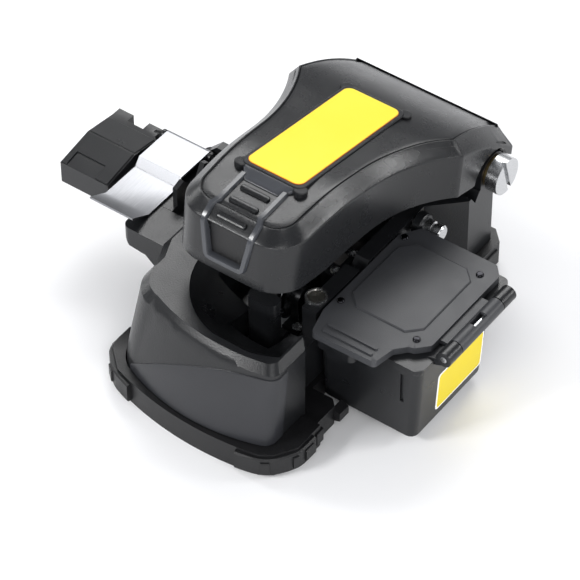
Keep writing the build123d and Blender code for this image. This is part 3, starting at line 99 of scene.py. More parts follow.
# A turned or brushed metal: noise drawn out along one axis, fine across it.
def brushedMetal(name, look):
    material = bpy.data.materials.new(name)
    material.use_nodes = True
    tree = material.node_tree
    shader = tree.nodes["Principled BSDF"]
    place = addNode(tree, "ShaderNodeTexCoord").outputs["Object"]
    across = 1.0 / (mm * look["lineMm"])
    along = across / look["stretch"]
    scale = [along if axis == look["axis"] else across for axis in "XYZ"]
    mapped = addNode(tree, "ShaderNodeMapping", {"Vector": place, "Scale": scale})
    lines = addNode(tree, "ShaderNodeTexNoise", {
        "Vector": mapped.outputs["Vector"], "Scale": 1.0, "Detail": 2.0, "Roughness": 0.6})
    tone = addNode(tree, "ShaderNodeMix", {
        "Factor": lines.outputs["Fac"], "A": linear(look["dark"]), "B": linear(look["light"])},
        data_type="RGBA")
    tree.links.new(tone.outputs["Result"], shader.inputs["Base Color"])
    gloss = addNode(tree, "ShaderNodeMapRange", {
        "Value": lines.outputs["Fac"], "To Min": look["roughness"] - 0.06, "To Max": look["roughness"] + 0.08})
    tree.links.new(gloss.outputs["Result"], shader.inputs["Roughness"])
    bump = addNode(tree, "ShaderNodeBump", {
        "Height": lines.outputs["Fac"], "Strength": look["bump"], "Distance": look["lineMm"] * mm})
    tree.links.new(bump.outputs["Normal"], shader.inputs["Normal"])
    shader.inputs["Metallic"].default_value = 1.0
    return material


materials = {
    # glass-filled nylon from a spark-eroded mould: a soft sheen with broad highlights
    "leverNylon": grainedSurface("glassFilledNylonMoulded", {
        "dark": "#151618", "light": "#1b1c1e", "cloudMm": 9.0, "grainMm": 0.35, "bump": 0.12,
        "roughness": 0.28, "roughnessSpread": 0.03, "ior": 1.42}),
    # the same nylon with its colour painted lighter on the nose's pad and frame: a painted sheen for the light these
    # faces catch, and a little glossier
    "sheenPaintedNylon": grainedSurface("glassFilledNylonPaintedSheen", {
        "dark": "#35373b", "light": "#3e4045", "cloudMm": 9.0, "grainMm": 0.35, "bump": 0.06,
        "roughness": 0.24, "roughnessSpread": 0.03, "ior": 1.5}),
    # aluminium casting with a satin powder coat: a little orange peel in the highlights
    "castPaint": grainedSurface("aluminiumCastingPowderCoated", {
        "dark": "#141517", "light": "#1a1b1d", "cloudMm": 14.0, "grainMm": 0.5, "bump": 0.16,
        "roughness": 0.31, "roughnessSpread": 0.04, "ior": 1.42}),
    # nitrile rubber tray, pressed: flat black with faint bloom
    "trayRubber": grainedSurface("nitrileRubberPressed", {
        "dark": "#101011", "light": "#161618", "cloudMm": 7.0, "grainMm": 0.4, "bump": 0.2,
        "roughness": 0.40, "roughnessSpread": 0.05, "ior": 1.42}),
    # ABS moulding with a fine satin texture: even, slightly brighter than the rubber
    "absMoulding": grainedSurface("absMouldedSatin", {
        "dark": "#141517", "light": "#1a1b1d", "cloudMm": 8.0, "grainMm": 0.35, "bump": 0.14,
        "roughness": 0.30, "roughnessSpread": 0.03, "ior": 1.42}),
    # the bin's flap: the same ABS from a mould blasted coarser, so it stays an even grey; its colour is painted
    # lighter than the ABS as painted light
    "flapPaintedLighter": grainedSurface("absMouldedBlastedPaintedLight", {
        "dark": "#303134", "light": "#37383b", "cloudMm": 8.0, "grainMm": 0.3, "bump": 0.12,
        "roughness": 0.44, "roughnessSpread": 0.03, "ior": 1.45}),
    # foot of the casting: the same coat painted a shade lighter than the rest as a painted reflection of the floor,
    # with a smoother bump
    "castingPaintedReflection": grainedSurface("aluminiumCastingCoatedPaintedReflection", {
        "dark": "#1f2023", "light": "#26272b", "cloudMm": 14.0, "grainMm": 0.5, "bump": 0.1,
        "roughness": 0.34, "roughnessSpread": 0.04, "ior": 1.45}),
    # aluminium, black anodised: dark, fine, a little metallic in the light
    "blackAnodised": grainedSurface("aluminiumBlackAnodised", {
        "dark": "#121315", "light": "#18191b", "cloudMm": 5.0, "grainMm": 0.25, "bump": 0.1,
        "roughness": 0.34, "roughnessSpread": 0.03, "metallic": 0.6}),
    # firm polyurethane rubber of pads and roller: dull, slightly warm
    "padRubber": grainedSurface("polyurethaneRubberGround", {
        "dark": "#232222", "light": "#2f2d2c", "cloudMm": 3.0, "grainMm": 0.3, "bump": 0.25,
        "roughness": 0.62, "roughnessSpread": 0.04}),
    # polycarbonate plate printed yellow on its back: clean colour under a clear gloss
    "yellowPlate": grainedSurface("polycarbonatePlateYellow", {
        "dark": "#f1da0e", "light": "#f6e220", "cloudMm": 22.0, "grainMm": 0.8, "bump": 0.02,
        "roughness": 0.30, "roughnessSpread": 0.03, "ior": 1.58, "coat": 0.25, "coatRoughness": 0.15}),
    # cut edge of the same plate: the yellow shows deep and orange where the light runs inside it
    "plateEdge": grainedSurface("polycarbonateCutEdge", {
        "dark": "#c8660e", "light": "#dd7d18", "cloudMm": 6.0, "grainMm": 0.4, "bump": 0.05,
        "roughness": 0.35, "roughnessSpread": 0.03, "ior": 1.58}),
    # printed field of the label on the bin: a deeper, matt yellow
    "labelYellow": grainedSurface("vinylLabelYellow", {
        "dark": "#d9c30a", "light": "#e1cb10", "cloudMm": 12.0, "grainMm": 0.4, "bump": 0.03,
        "roughness": 0.5, "roughnessSpread": 0.04, "ior": 1.5}),
    # printed border of a label: matt white
    "labelBorder": grainedSurface("vinylLabelWhite", {
        "dark": "#e9e9e6", "light": "#f6f6f3", "cloudMm": 8.0, "grainMm": 0.4, "bump": 0.03,
        "roughness": 0.45, "roughnessSpread": 0.04, "ior": 1.5}),
    # pale acetal moulding: milky white with a soft sheen
    "paleAcetal": grainedSurface("acetalMouldedPale", {
        "dark": "#c9c8c2", "light": "#dad9d3", "cloudMm": 4.0, "grainMm": 0.3, "bump": 0.08,
        "roughness": 0.42, "roughnessSpread": 0.03, "ior": 1.48}),
    # nickel-plated magnet: bright with a warm tint
    "nickelPlate": grainedSurface("nickelPlatedMagnet", {
        "dark": "#b8b4ac", "light": "#cfcbc3", "cloudMm": 2.0, "grainMm": 0.2, "bump": 0.05,
        "roughness": 0.22, "roughnessSpread": 0.04, "metallic": 1.0}),
    # steel turned on a lathe: rings round the axis catch the light
    "turnedSteel": brushedMetal("stainlessSteelTurned", {
        "dark": "#b3b4b6", "light": "#d8d9da", "lineMm": 0.25, "stretch": 1.0, "axis": "X",
        "roughness": 0.26, "bump": 0.05}),
    # steel ground flat: short fine lines along Y
    "groundSteel": brushedMetal("toolSteelGround", {
        "dark": "#96989a", "light": "#bcbec0", "lineMm": 0.2, "stretch": 12.0, "axis": "Y",
        "roughness": 0.32, "bump": 0.08}),
    # stainless sheet brushed along its length: silky bright
    "brushedSheet": brushedMetal("stainlessSheetBrushed", {
        "dark": "#7c7d80", "light": "#9c9da0", "lineMm": 0.18, "stretch": 24.0, "axis": "Y",
        "roughness": 0.36, "bump": 0.06}),
    # screws blackened in oil: dark with a bright edge
    "blackenedSteel": brushedMetal("steelBlackened", {
        "dark": "#1c1c1e", "light": "#2c2c2f", "lineMm": 0.2, "stretch": 1.0, "axis": "X",
        "roughness": 0.22, "bump": 0.05}),
    # brass washer, dull from handling
    "dullBrass": brushedMetal("brassTurned", {
        "dark": "#8d7a55", "light": "#ad9a72", "lineMm": 0.2, "stretch": 1.0, "axis": "X",
        "roughness": 0.34, "bump": 0.05}),
    # bronze bush, sintered and oiled
    "oiledBronze": brushedMetal("bronzeSintered", {
        "dark": "#7d5a36", "light": "#9c7548", "lineMm": 0.3, "stretch": 1.0, "axis": "X",
        "roughness": 0.42, "bump": 0.1}),
    # cemented carbide blade, lapped: near mirror
    "lappedCarbide": brushedMetal("cementedCarbideLapped", {
        "dark": "#a9abae", "light": "#cbcdd0", "lineMm": 0.3, "stretch": 1.0, "axis": "X",
        "roughness": 0.16, "bump": 0.02}),
}
print("materials made:", len(materials))


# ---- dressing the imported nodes

# Smooths facets and leaves edges over the given angle sharp.
def smoothGroup():
    group = bpy.data.node_groups.new("smoothBelowAngle", "GeometryNodeTree")
    group.interface.new_socket("Geometry", in_out="INPUT", socket_type="NodeSocketGeometry")
    group.interface.new_socket("Geometry", in_out="OUTPUT", socket_type="NodeSocketGeometry")
    entry = group.nodes.new("NodeGroupInput")
    angle = addNode(group, "GeometryNodeInputMeshEdgeAngle")
    steep = addNode(group, "FunctionNodeCompare", {
        "A": angle.outputs["Unsigned Angle"], "B": math.radians(32.0)}, operation="GREATER_THAN")
    soft = addNode(group, "GeometryNodeSetShadeSmooth", {
        "Geometry": entry.outputs["Geometry"], "Shade Smooth": True}, domain="FACE")
    crisp = addNode(group, "GeometryNodeSetShadeSmooth", {
        "Geometry": soft.outputs["Geometry"], "Selection": steep.outputs["Result"],
        "Shade Smooth": False}, domain="EDGE")
    addNode(group, "NodeGroupOutput", {"Geometry": crisp.outputs["Geometry"]})
    return group


smoothing = smoothGroup()


def roundEdges(piece, bevelMm, segments=2, weld=False):
    if weld:
        merge = piece.modifiers.new("weld", "WELD")
        merge.merge_threshold = 0.002 * mm
    if bevelMm > 0:
        bevel = piece.modifiers.new("edges", "BEVEL")
        bevel.width = bevelMm * mm
        bevel.segments = segments
        bevel.limit_method = "ANGLE"
        bevel.angle_limit = math.radians(32.0)
        bevel.use_clamp_overlap = True
    piece.modifiers.new("smooth", "NODES").node_group = smoothing
    flat = piece.modifiers.new("flat", "WEIGHTED_NORMAL")  # large faces keep their own direction
    flat.keep_sharp = True


def dressNode(name, material, bevelMm=0.0):
    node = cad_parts[name]
    node.data.materials.clear()
    node.data.materials.append(materials[material])
    roundEdges(node, bevelMm, weld=True)


nodeFinishes = {
    "castPaint": {"main_body": 0.5},
    "trayRubber": {"rubber_base": 0.4},
    "absMoulding": {
        "scrap_bin": 0.3, "bin_frame": 0.2, "finger_latch": 0.2, "push_knob": 0.4,
        "holder_body": 0.25},
    "flapPaintedLighter": {"flap": 0.25},
    "blackAnodised": {
        "left_clamp_block": 0.15, "right_clamp_block": 0.15, "bin_hooks": 0.1, "blade_bracket": 0.1,
        "left_upper_clamp": 0.15, "right_upper_clamp": 0.15},
    "padRubber": {
        "end_stop": 0.2, "left_lower_pad": 0.1, "right_lower_pad": 0.1, "left_upper_pad": 0.1,
        "right_upper_pad": 0.1, "feed_roller": 0.2, "flap_pad": 0.1},
    "paleAcetal": {"anvil": 0.1},
    "nickelPlate": {"latch_magnet": 0.0, "holder_magnets": 0.0},
    "turnedSteel": {
        "base_screws": 0.08, "rail_screws": 0.08, "clamp_screws": 0.08, "magnet_cup": 0.1,
        "hinge_shaft": 0.25, "hinge_nut": 0.2, "bin_catch_pin": 0.2, "hook_screws": 0.08,
        "blade_screw": 0.1, "carriage_screws": 0.08, "striker": 0.15, "top_screws": 0.08,
        "lever_screws": 0.08, "holder_discs": 0.1, "lid_pin": 0.1, "frame_screws": 0.08,
        "flap_pin": 0.1, "roller_axle": 0.1, "hinge_spring": 0.0},
    "groundSteel": {"guide_rail": 0.1, "slide_block": 0.2, "lever_frame": 0.2},
    "brushedSheet": {"holder_lid": 0.12},
    "blackenedSteel": {"flap_screws": 0.1},
    "dullBrass": {"hinge_washer": 0.1},
    "oiledBronze": {"hinge_bushes": 0.1},
    "lappedCarbide": {"blade_wheel": 0.0},
}
for materialName, finishes in nodeFinishes.items():
    for nodeName, bevelMm in finishes.items():
        dressNode(nodeName, materialName, bevelMm)
print("nodes dressed:", sum(len(finishes) for finishes in nodeFinishes.values()))


# ---- lever, drawn shut and then turned to its open rest

# plan and heights are the part's own, in mm, drawn shut
leverLook = {
    "frontY": -36.5, "rearY": 66.0, "bottomZ": 37.2, "topZ": 60.8, "slope": 0.045, "crownY": -12.0,
    "crownRounding": 8.0, "domeY": 25.0, "rearDrop": 12.2, "frontDrop": 4.6,
    "noseHalf": 20.4, "waistHalf": 21.5, "rearHalf": 31.2, "flareStartY": 4.0, "foldY": 36.0,
    "cornerRadius": 11.0, "rearCorner": 1.2, "grooveWide": 0.9, "grooveDeep": 0.4, "creaseMm": 0.45, "wallMm": 2.0,
    "archRise": 2.5, "archFrontY": -16.0, "archRearY": 44.0,
    "panelHalf": 7.0, "panelLowZ": 41.6, "panelDepth": 1.2, "panelTaper": 0.16}
# band between the wall and the top, at the nose, the waist, the fold, the rear corner and the rear edge
bandLook = {"in": (4.0, 4.0, 3.5, 6.2, 0.6), "down": (3.7, 4.1, 4.6, 4.95, 0.6)}
earLook = {"front": 9.5, "rear": 7.0, "height": 7.0, "tailRise": 6.4, "tailFall": 0.637, "lowest": 36.9}
hingePlace = {"y": 55.0, "z": 37.75, "restDegrees": 7.5}


# 3t^2 - 2t^3 between 0 and 1, level outside
def smoothStep(value):
    t = np.clip(value, 0.0, 1.0)
    return t * t * (3 - 2 * t)


# top height: a straight fall each side of the crown, rounded where they meet, and a square-law
# fall behind the dome
def leverTop(y):
    look = leverLook
    crown, front = look["crownY"], look["frontY"]
    climb = look["frontDrop"] / (crown - front)
    behind = look["topZ"] - look["slope"] * (y - crown)
    ahead = look["topZ"] - climb * (crown - y)
    reach = np.clip((y - look["domeY"]) / (look["rearY"] - look["domeY"]), 0.0, 2.0)
    near = np.clip(1 - np.abs(y - crown) / look["crownRounding"], 0.0, 1.0)
    rounding = (climb + look["slope"]) * look["crownRounding"] / 4 * near ** 2
    return np.minimum(behind, ahead) - rounding - look["rearDrop"] * reach ** 2


# turns closed-lever points, in mm, about the hinge line to where the lever rests
def openLever(points):
    angle = -math.radians(hingePlace["restDegrees"])
    y = points[..., 1] - hingePlace["y"]
    z = points[..., 2] - hingePlace["z"]
    turnedY = y * math.cos(angle) - z * math.sin(angle)
    turnedZ = y * math.sin(angle) + z * math.cos(angle)
    return np.stack([points[..., 0], turnedY + hingePlace["y"], turnedZ + hingePlace["z"]], axis=-1)


# a mesh object from whole arrays: points in mm, faces as index rows
def addPiece(name, points, faces, material, body, mergeMm=0.0005):
    mesh = bpy.data.meshes.new(name)
    points = np.asarray(points, dtype=float).reshape(-1, 3) * mm
    mesh.from_pydata(points.tolist(), [], [tuple(row) for row in faces])
    editor = bmesh.new()
    editor.from_mesh(mesh)
    bmesh.ops.remove_doubles(editor, verts=editor.verts, dist=mergeMm * mm)
    bmesh.ops.dissolve_degenerate(editor, edges=editor.edges, dist=mergeMm * mm)
    bmesh.ops.recalc_face_normals(editor, faces=editor.faces)
    centre = sum((vert.co for vert in editor.verts), Vector()) / len(editor.verts)
    outwards = sum((face.calc_center_median() - centre).dot(face.normal) * face.calc_area() for face in editor.faces)
    if outwards < 0:  # an open shell may come out turned
        bmesh.ops.reverse_faces(editor, faces=editor.faces)
    editor.to_mesh(mesh)
    editor.free()
    piece = bpy.data.objects.new(name, mesh)
    bpy.context.scene.collection.objects.link(piece)
    mesh.materials.append(materials[material])
    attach(piece, body)
    return piece


# quads between neighbouring rows and columns of a grid, optionally closed round either way
def gridFaces(rows, columns, closeRows=False, closeColumns=False):
    r = np.arange(rows if closeRows else rows - 1)
    c = np.arange(columns if closeColumns else columns - 1)
    row, column = np.meshgrid(r, c, indexing="ij")
    nextRow, nextColumn = (row + 1) % rows, (column + 1) % columns
    corners = [row * columns + column, nextRow * columns + column,
               nextRow * columns + nextColumn, row * columns + nextColumn]
    return np.stack(corners, axis=-1).reshape(-1, 4)


# How far along each stretch of the outline the columns stand, from the nose's middle to the
# rear's: nose, corner, side, flare, hinge end, rear corner, rear.
leverStretches = {
    "nose": np.array([0.0, 0.25, 0.5, 0.75, 0.985, 1.02, 1.13]), "corner": np.linspace(0, 1, 15)[1:],
    "side": np.linspace(0, 1, 17)[1:], "flare": np.linspace(0, 1, 25)[1:],
    "hinge": np.linspace(0, 1, 45)[1:], "turn": np.linspace(0, 1, 6)[1:],
    "rear": np.concatenate([np.linspace(0, 0.17, 6)[1:], np.linspace(0.17, 1, 12)[1:]])}


# Width and fall of the band at each column, blended along the outline. On the rear the band of
# the side runs out over a few columns into the thin rear edge.
def leverBand():
    count = np.array([len(part) for part in leverStretches.values()])
    ends = np.cumsum(count)
    knots = [0, ends[0] + 4, ends[2] - 1, ends[3] - 1, ends[4] - 1, ends[5] - 1]
    last = leverLook["rearHalf"] - leverLook["rearCorner"]
    crestX = leverLook["rearHalf"] - bandLook["in"][3]
    share = np.clip((last * (1 - leverStretches["rear"]) - crestX) / (last - crestX), 0, 1)
    bands = []
    for key in ("in", "down"):
        nose, waist, fold, rearCorner, rearEdge = bandLook[key]
        band = np.interp(np.arange(ends[5]), knots, [nose, nose, waist, fold, rearCorner, rearCorner])
        bands.append(np.concatenate([band, rearEdge + (rearCorner - rearEdge) * share]))
    return bands


# Right half of the lever's plan, moved inwards by a distance that may differ at each column.
# Straight nose, quarter circle, straight side, an arc that leaves the side along its line and
# bends out to the fold, a straight hinge end, a small quarter circle and the straight rear.
def leverOutline(inset):
    look = leverLook
    radius, front, rear, cornerMm = look["cornerRadius"], look["frontY"], look["rearY"], look["rearCorner"]
    ends = np.cumsum([0] + [len(part) for part in leverStretches.values()])
    d = [inset[low:high, None] for low, high in zip(ends[:-1], ends[1:])]
    band = leverBand()[0]
    nose, corner, side, flare, hinge, turn, back = [part[:, None] for part in leverStretches.values()]
    flat = look["noseHalf"] - radius
    noseX = np.minimum(nose * look["panelHalf"], flat - 0.3)
    parts = [np.hstack([noseX, front + d[0]])]
    angle = corner * math.pi / 2
    parts.append(np.hstack([flat + (radius - d[1]) * np.sin(angle), front + radius - (radius - d[1]) * np.cos(angle)]))
    start = np.array([look["noseHalf"], front + radius])
    waist = np.array([look["waistHalf"], look["flareStartY"]])
    fold = np.array([look["rearHalf"], look["foldY"]])
    across = np.array([1.0, 0.0])
    parts.append(start + (waist - start) * side - across * d[2])
    ahead = (waist - start) / np.linalg.norm(waist - start)
    outwards = np.array([ahead[1], -ahead[0]])
    chord = fold - waist
    bend = chord @ chord / (2 * chord @ outwards)
    swept = 2 * math.atan2(chord @ outwards, chord @ ahead) * flare
    parts.append(waist + bend * (np.sin(swept) * ahead + (1 - np.cos(swept)) * outwards) - across * d[3])
    beyond = np.maximum(d[4] - band[ends[4]:ends[5], None], 0)
    run = look["foldY"] + (rear - cornerMm - beyond - look["foldY"]) * hinge
    parts.append(np.hstack([look["rearHalf"] - d[4], run]))

    # rear corner and rear: from the foot's point to the crest's by the share of the band crossed
    crestX = look["rearHalf"] - bandLook["in"][3]
    edge = bandLook["in"][4]
    angle = turn * math.pi / 2
    foot = np.hstack([look["rearHalf"] - cornerMm * (1 - np.cos(angle)), rear - cornerMm * (1 - np.sin(angle))])
    crest = np.hstack([np.full_like(turn, crestX), rear - cornerMm + (cornerMm - edge) * turn])
    for foot, crest, offset, width in (
            (foot, crest, d[5], band[ends[5]:ends[6], None]),
            (np.hstack([(look["rearHalf"] - cornerMm) * (1 - back), np.full_like(back, rear)]), None, d[6],
             band[ends[6]:, None])):
        if crest is None:
            crest = np.hstack([np.minimum(foot[:, :1], crestX), np.full_like(back, rear - edge)])
        inwards = np.hstack([-crest[:, :1] / crestX, -np.ones_like(offset)])
        parts.append(foot + (crest - foot) * np.minimum(offset / width, 1) + inwards * np.maximum(offset - width, 0))
    return np.concatenate(parts)


# A shell over the outline: each column climbs the wall, rounds the lower crease, crosses the
# slanted band, dips into the groove at the upper crease and runs over the top to the middle.
def leverShell():
    look = leverLook
    count = [len(part) for part in leverStretches.values()]
    whole = sum(count)
    column = np.arange(whole)
    bandIn, bandDown = leverBand()
    zero = np.zeros(whole)
    foot = leverOutline(zero)
    crest = leverOutline(bandIn)
    x, y = foot.T

    middle = (look["archFrontY"] + look["archRearY"]) / 2
    half = (look["archRearY"] - look["archFrontY"]) / 2
    bottom = look["bottomZ"] + look["archRise"] * np.clip(1 - ((y - middle) / half) ** 2, 0, 1)
    past = y - hingePlace["y"]
    ear = np.where(past < 0, past / earLook["front"], past / earLook["rear"])
    over = hingePlace["z"] + earLook["height"] * np.sqrt(np.clip(1 - ear ** 2, 0, 1))
    tail = hingePlace["z"] + earLook["tailRise"] - earLook["tailFall"] * past
    rearBottom = np.maximum(np.where(np.abs(ear) < 1, over, -np.inf), np.where(past > 0, tail, -np.inf))
    bottom = np.where(past > -earLook["front"], np.maximum(rearBottom, earLook["lowest"]), bottom)
    topZ = leverTop(crest[:, 1])
    wallTop = np.maximum(topZ - bandDown, bottom + 0.9)

    c = look["creaseMm"]
    slant = np.stack([bandIn, topZ - wallTop]) / np.hypot(bandIn, topZ - wallTop)
    rows = [(0.9, bottom), (0.3, bottom + 0.05), (0.05, bottom + 0.18), (0.0, bottom + 0.3)]
    panelRow = np.where(y < look["frontY"] + 1.0, look["panelLowZ"], bottom + 0.34)
    low = np.minimum(panelRow, wallTop - c - 0.1)
    rows += [(0.0, low + (wallTop - c - low) * part) for part in (0.0, 0.02, 0.25, 0.5, 0.75, 1.0)]
    rows += [(slant[0] * c * along * along, wallTop - c * (1 - along) ** 2 + slant[1] * c * along * along)
             for along in (0.3, 0.6, 1.0)]
    rows += [(bandIn * part, wallTop + (topZ - wallTop) * part) for part in (0.3, 0.5, 0.7)]
    deep, wide = look["grooveDeep"], look["grooveWide"]
    rows += [(bandIn - slant[0] * c, topZ - slant[1] * c), (bandIn - slant[0] * c * 0.35, topZ - slant[1] * c * 0.2)]
    rows += [(bandIn + wide * across, topZ - deep * depth) for across, depth in (
        (0.15, 0.0), (0.3, 0.12), (0.45, 0.8), (0.6, 1.0), (0.75, 0.8), (0.9, 0.12), (1.1, 0.0))]
    grid = []
    for inset, z in rows:
        plan = leverOutline(np.broadcast_to(np.asarray(inset, dtype=float), (whole,)))
        grid.append(np.column_stack([plan, z]))
    points = np.stack(grid)

    # the panel on the nose is set back, and its sides close in towards the bottom
    onNose = (column < count[0])[None, :]
    wallRows = (np.arange(len(rows)) < 10)[:, None]
    panelTop = float(wallTop[0])
    down = np.clip((panelTop - points[..., 2]) / (panelTop - look["panelLowZ"]), 0, 1)
    points[..., 0] *= np.where(wallRows & onNose, 1 - look["panelTaper"] * down, 1.0)
    inPanel = wallRows & (column <= 4)[None, :] & (points[..., 2] > look["panelLowZ"] + 0.02)
    points[..., 1] += np.where(inPanel, look["panelDepth"], 0.0)

    # over the top: each column runs to the middle line, those of the nose and rear in a fan
    last = points[-1]
    middleY = np.clip(last[:, 1], look["frontY"] + 14.0, look["rearY"] - 12.0)
    steps = np.linspace(0, 1, 16)[1:]
    crossX = last[None, :, 0] * (1 - steps[:, None])
    crossY = last[None, :, 1] + (middleY - last[:, 1])[None, :] * steps[:, None]
    over = np.stack([crossX, crossY, leverTop(crossY)], axis=-1)
    right = np.concatenate([points, over])
    left = (right * np.array([-1, 1, 1]))[::-1][1:]
    both = openLever(np.concatenate([right, left]))
    piece = addPiece("leverShell", both, gridFaces(*both.shape[:2]), "leverNylon", "lever")
    wall = piece.modifiers.new("wall", "SOLIDIFY")
    wall.thickness = look["wallMm"] * mm
    wall.offset = -1.0
    wall.use_even_offset = False
    piece.modifiers.new("smooth", "NODES").node_group = smoothing
    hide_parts("lever_cover")
    return piece


leverShell()
print("lever shell made")


# A bar with a rounded section carried along a path: the section's two axes follow the path's side
# and the surface's outward direction, both given point by point.
def sweptBar(name, path, side, outward, section, material, body, turned=True):
    rings = path[:, None, :] + side[:, None, :] * section[None, :, 0:1] + outward[:, None, :] * section[None, :, 1:2]
    points = openLever(rings) if turned else rings
    count = len(section)
    faces = [list(row) for row in gridFaces(len(path), count, closeColumns=True)]
    faces.append(list(range(count)))
    faces.append([(len(path) - 1) * count + index for index in reversed(range(count))])
    return addPiece(name, points, faces, material, body)


# A slab over a plan: the outline goes up its side, round a small edge and closes over the top.
# Height comes from a function of y, and the slab dips into what carries it.
def slabOnLever(name, outline, height, dip, edgeMm, material):
    outline = np.asarray(outline, dtype=float)
    centre = outline.mean(axis=0)
    back, forth = np.roll(outline, 1, axis=0), np.roll(outline, -1, axis=0)
    tangent = (forth - back) / np.linalg.norm(forth - back, axis=1, keepdims=True)
    inward = np.stack([-tangent[:, 1], tangent[:, 0]], axis=-1)
    rings = []
    for inset, drop in ((0, dip), (0, edgeMm), (0.3 * edgeMm, 0.3 * edgeMm), (edgeMm, 0.0)):
        ring = outline + inward * inset
        rings.append(np.column_stack([ring, height(ring[:, 1]) - drop]))
    for share in (0.35, 0.7, 0.999):
        ring = (outline + inward * edgeMm) * (1 - share) + centre * share
        rings.append(np.column_stack([ring, height(ring[:, 1])]))
    points = openLever(np.stack(rings))
    faces = [list(row) for row in gridFaces(len(rings), len(outline), closeColumns=True)]
    faces.append(list(range(len(outline))))
    faces.append([(len(rings) - 1) * len(outline) + index for index in range(len(outline))])
    return addPiece(name, points, faces, material, "lever")


# plan of a rectangle with quarter-circle corners, walked anticlockwise
def roundedPlan(halfX, lowY, highY, radius, steps=7):
    turn = np.linspace(0, math.pi / 2, steps)
    corners = []
    for quarter, (cx, cy) in enumerate((
            (halfX - radius, lowY + radius), (halfX - radius, highY - radius),
            (radius - halfX, highY - radius), (radius - halfX, lowY + radius))):
        angle = turn + (quarter - 1) * math.pi / 2
        corners.append(np.stack([cx + radius * np.cos(angle), cy + radius * np.sin(angle)], axis=-1))
    return np.concatenate(corners)


plateLook = {
    "halfWidth": 9.5, "frontY": -16.0, "length": 51.0, "bedRise": 0.5, "plateRise": 0.35,
    "bedMargin": 1.3, "corner": 2.6, "postRadius": 2.1, "edgeMm": 0.25}


# the bed's plane: the lever's middle slope carried straight on past the crown
def bedHeight(y):
    return leverLook["topZ"] + plateLook["bedRise"] - leverLook["slope"] * (y - leverLook["crownY"])


def nameplateGroup():
    look = plateLook
    front, rear = look["frontY"], look["frontY"] + look["length"]
    margin = look["bedMargin"]
    bedPlan = roundedPlan(look["halfWidth"] + margin, front - margin, rear + margin, look["corner"])
    bed = slabOnLever("nameplateBed", bedPlan, bedHeight, 4.0, look["edgeMm"], "leverNylon")
    turn = np.linspace(0, 2 * math.pi, 24, endpoint=False)
    reach = look["halfWidth"] + margin - 0.5
    for index, (cx, cy) in enumerate((
            (-reach, front - margin + 0.6), (reach, front - margin + 0.6),
            (reach, rear + margin - 0.6), (-reach, rear + margin - 0.6))):
        postPlan = np.stack([
            cx + look["postRadius"] * np.cos(turn), cy + look["postRadius"] * np.sin(turn)], axis=-1)
        post = slabOnLever(
            f"bedPost{index}", postPlan, lambda y: bedHeight(y) - 0.3, 4.0, look["edgeMm"], "leverNylon")
    edgePlan = roundedPlan(look["halfWidth"] + 0.14, front - 0.14, rear + 0.14, look["corner"] - 0.1)
    edge = slabOnLever(
        "plateEdge", edgePlan, lambda y: bedHeight(y) + look["plateRise"] - 0.13, 0.6, 0.05, "plateEdge")
    platePlan = roundedPlan(look["halfWidth"], front, rear, look["corner"] - 0.2)
    plate = slabOnLever(
        "barePlate", platePlan, lambda y: bedHeight(y) + look["plateRise"], 0.8, 0.12, "yellowPlate")
    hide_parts("nameplate")


nameplateGroup()

gripLook = {
    "firstY": -23.9, "pitch": 5.3, "length": 10.0, "width": 1.9, "height": 0.95,
    "padRearHalf": 8.6, "padFrontHalf": 6.4, "padFrontY": -21.4, "railHalf": 7.2, "railWide": 8.2,
    "railLow": 6.5, "railWidth": 2.1, "railHeight": 1.0}


# a height on the nose: the top, then the slanted band, as in the shell
def noseHeight(y):
    bandIn, bandDown = bandLook["in"][0], bandLook["down"][0]
    creaseY = leverLook["frontY"] + bandIn
    creaseZ = leverTop(np.array(creaseY))
    return np.where(y > creaseY, leverTop(y), creaseZ - bandDown * (creaseY - y) / bandIn)


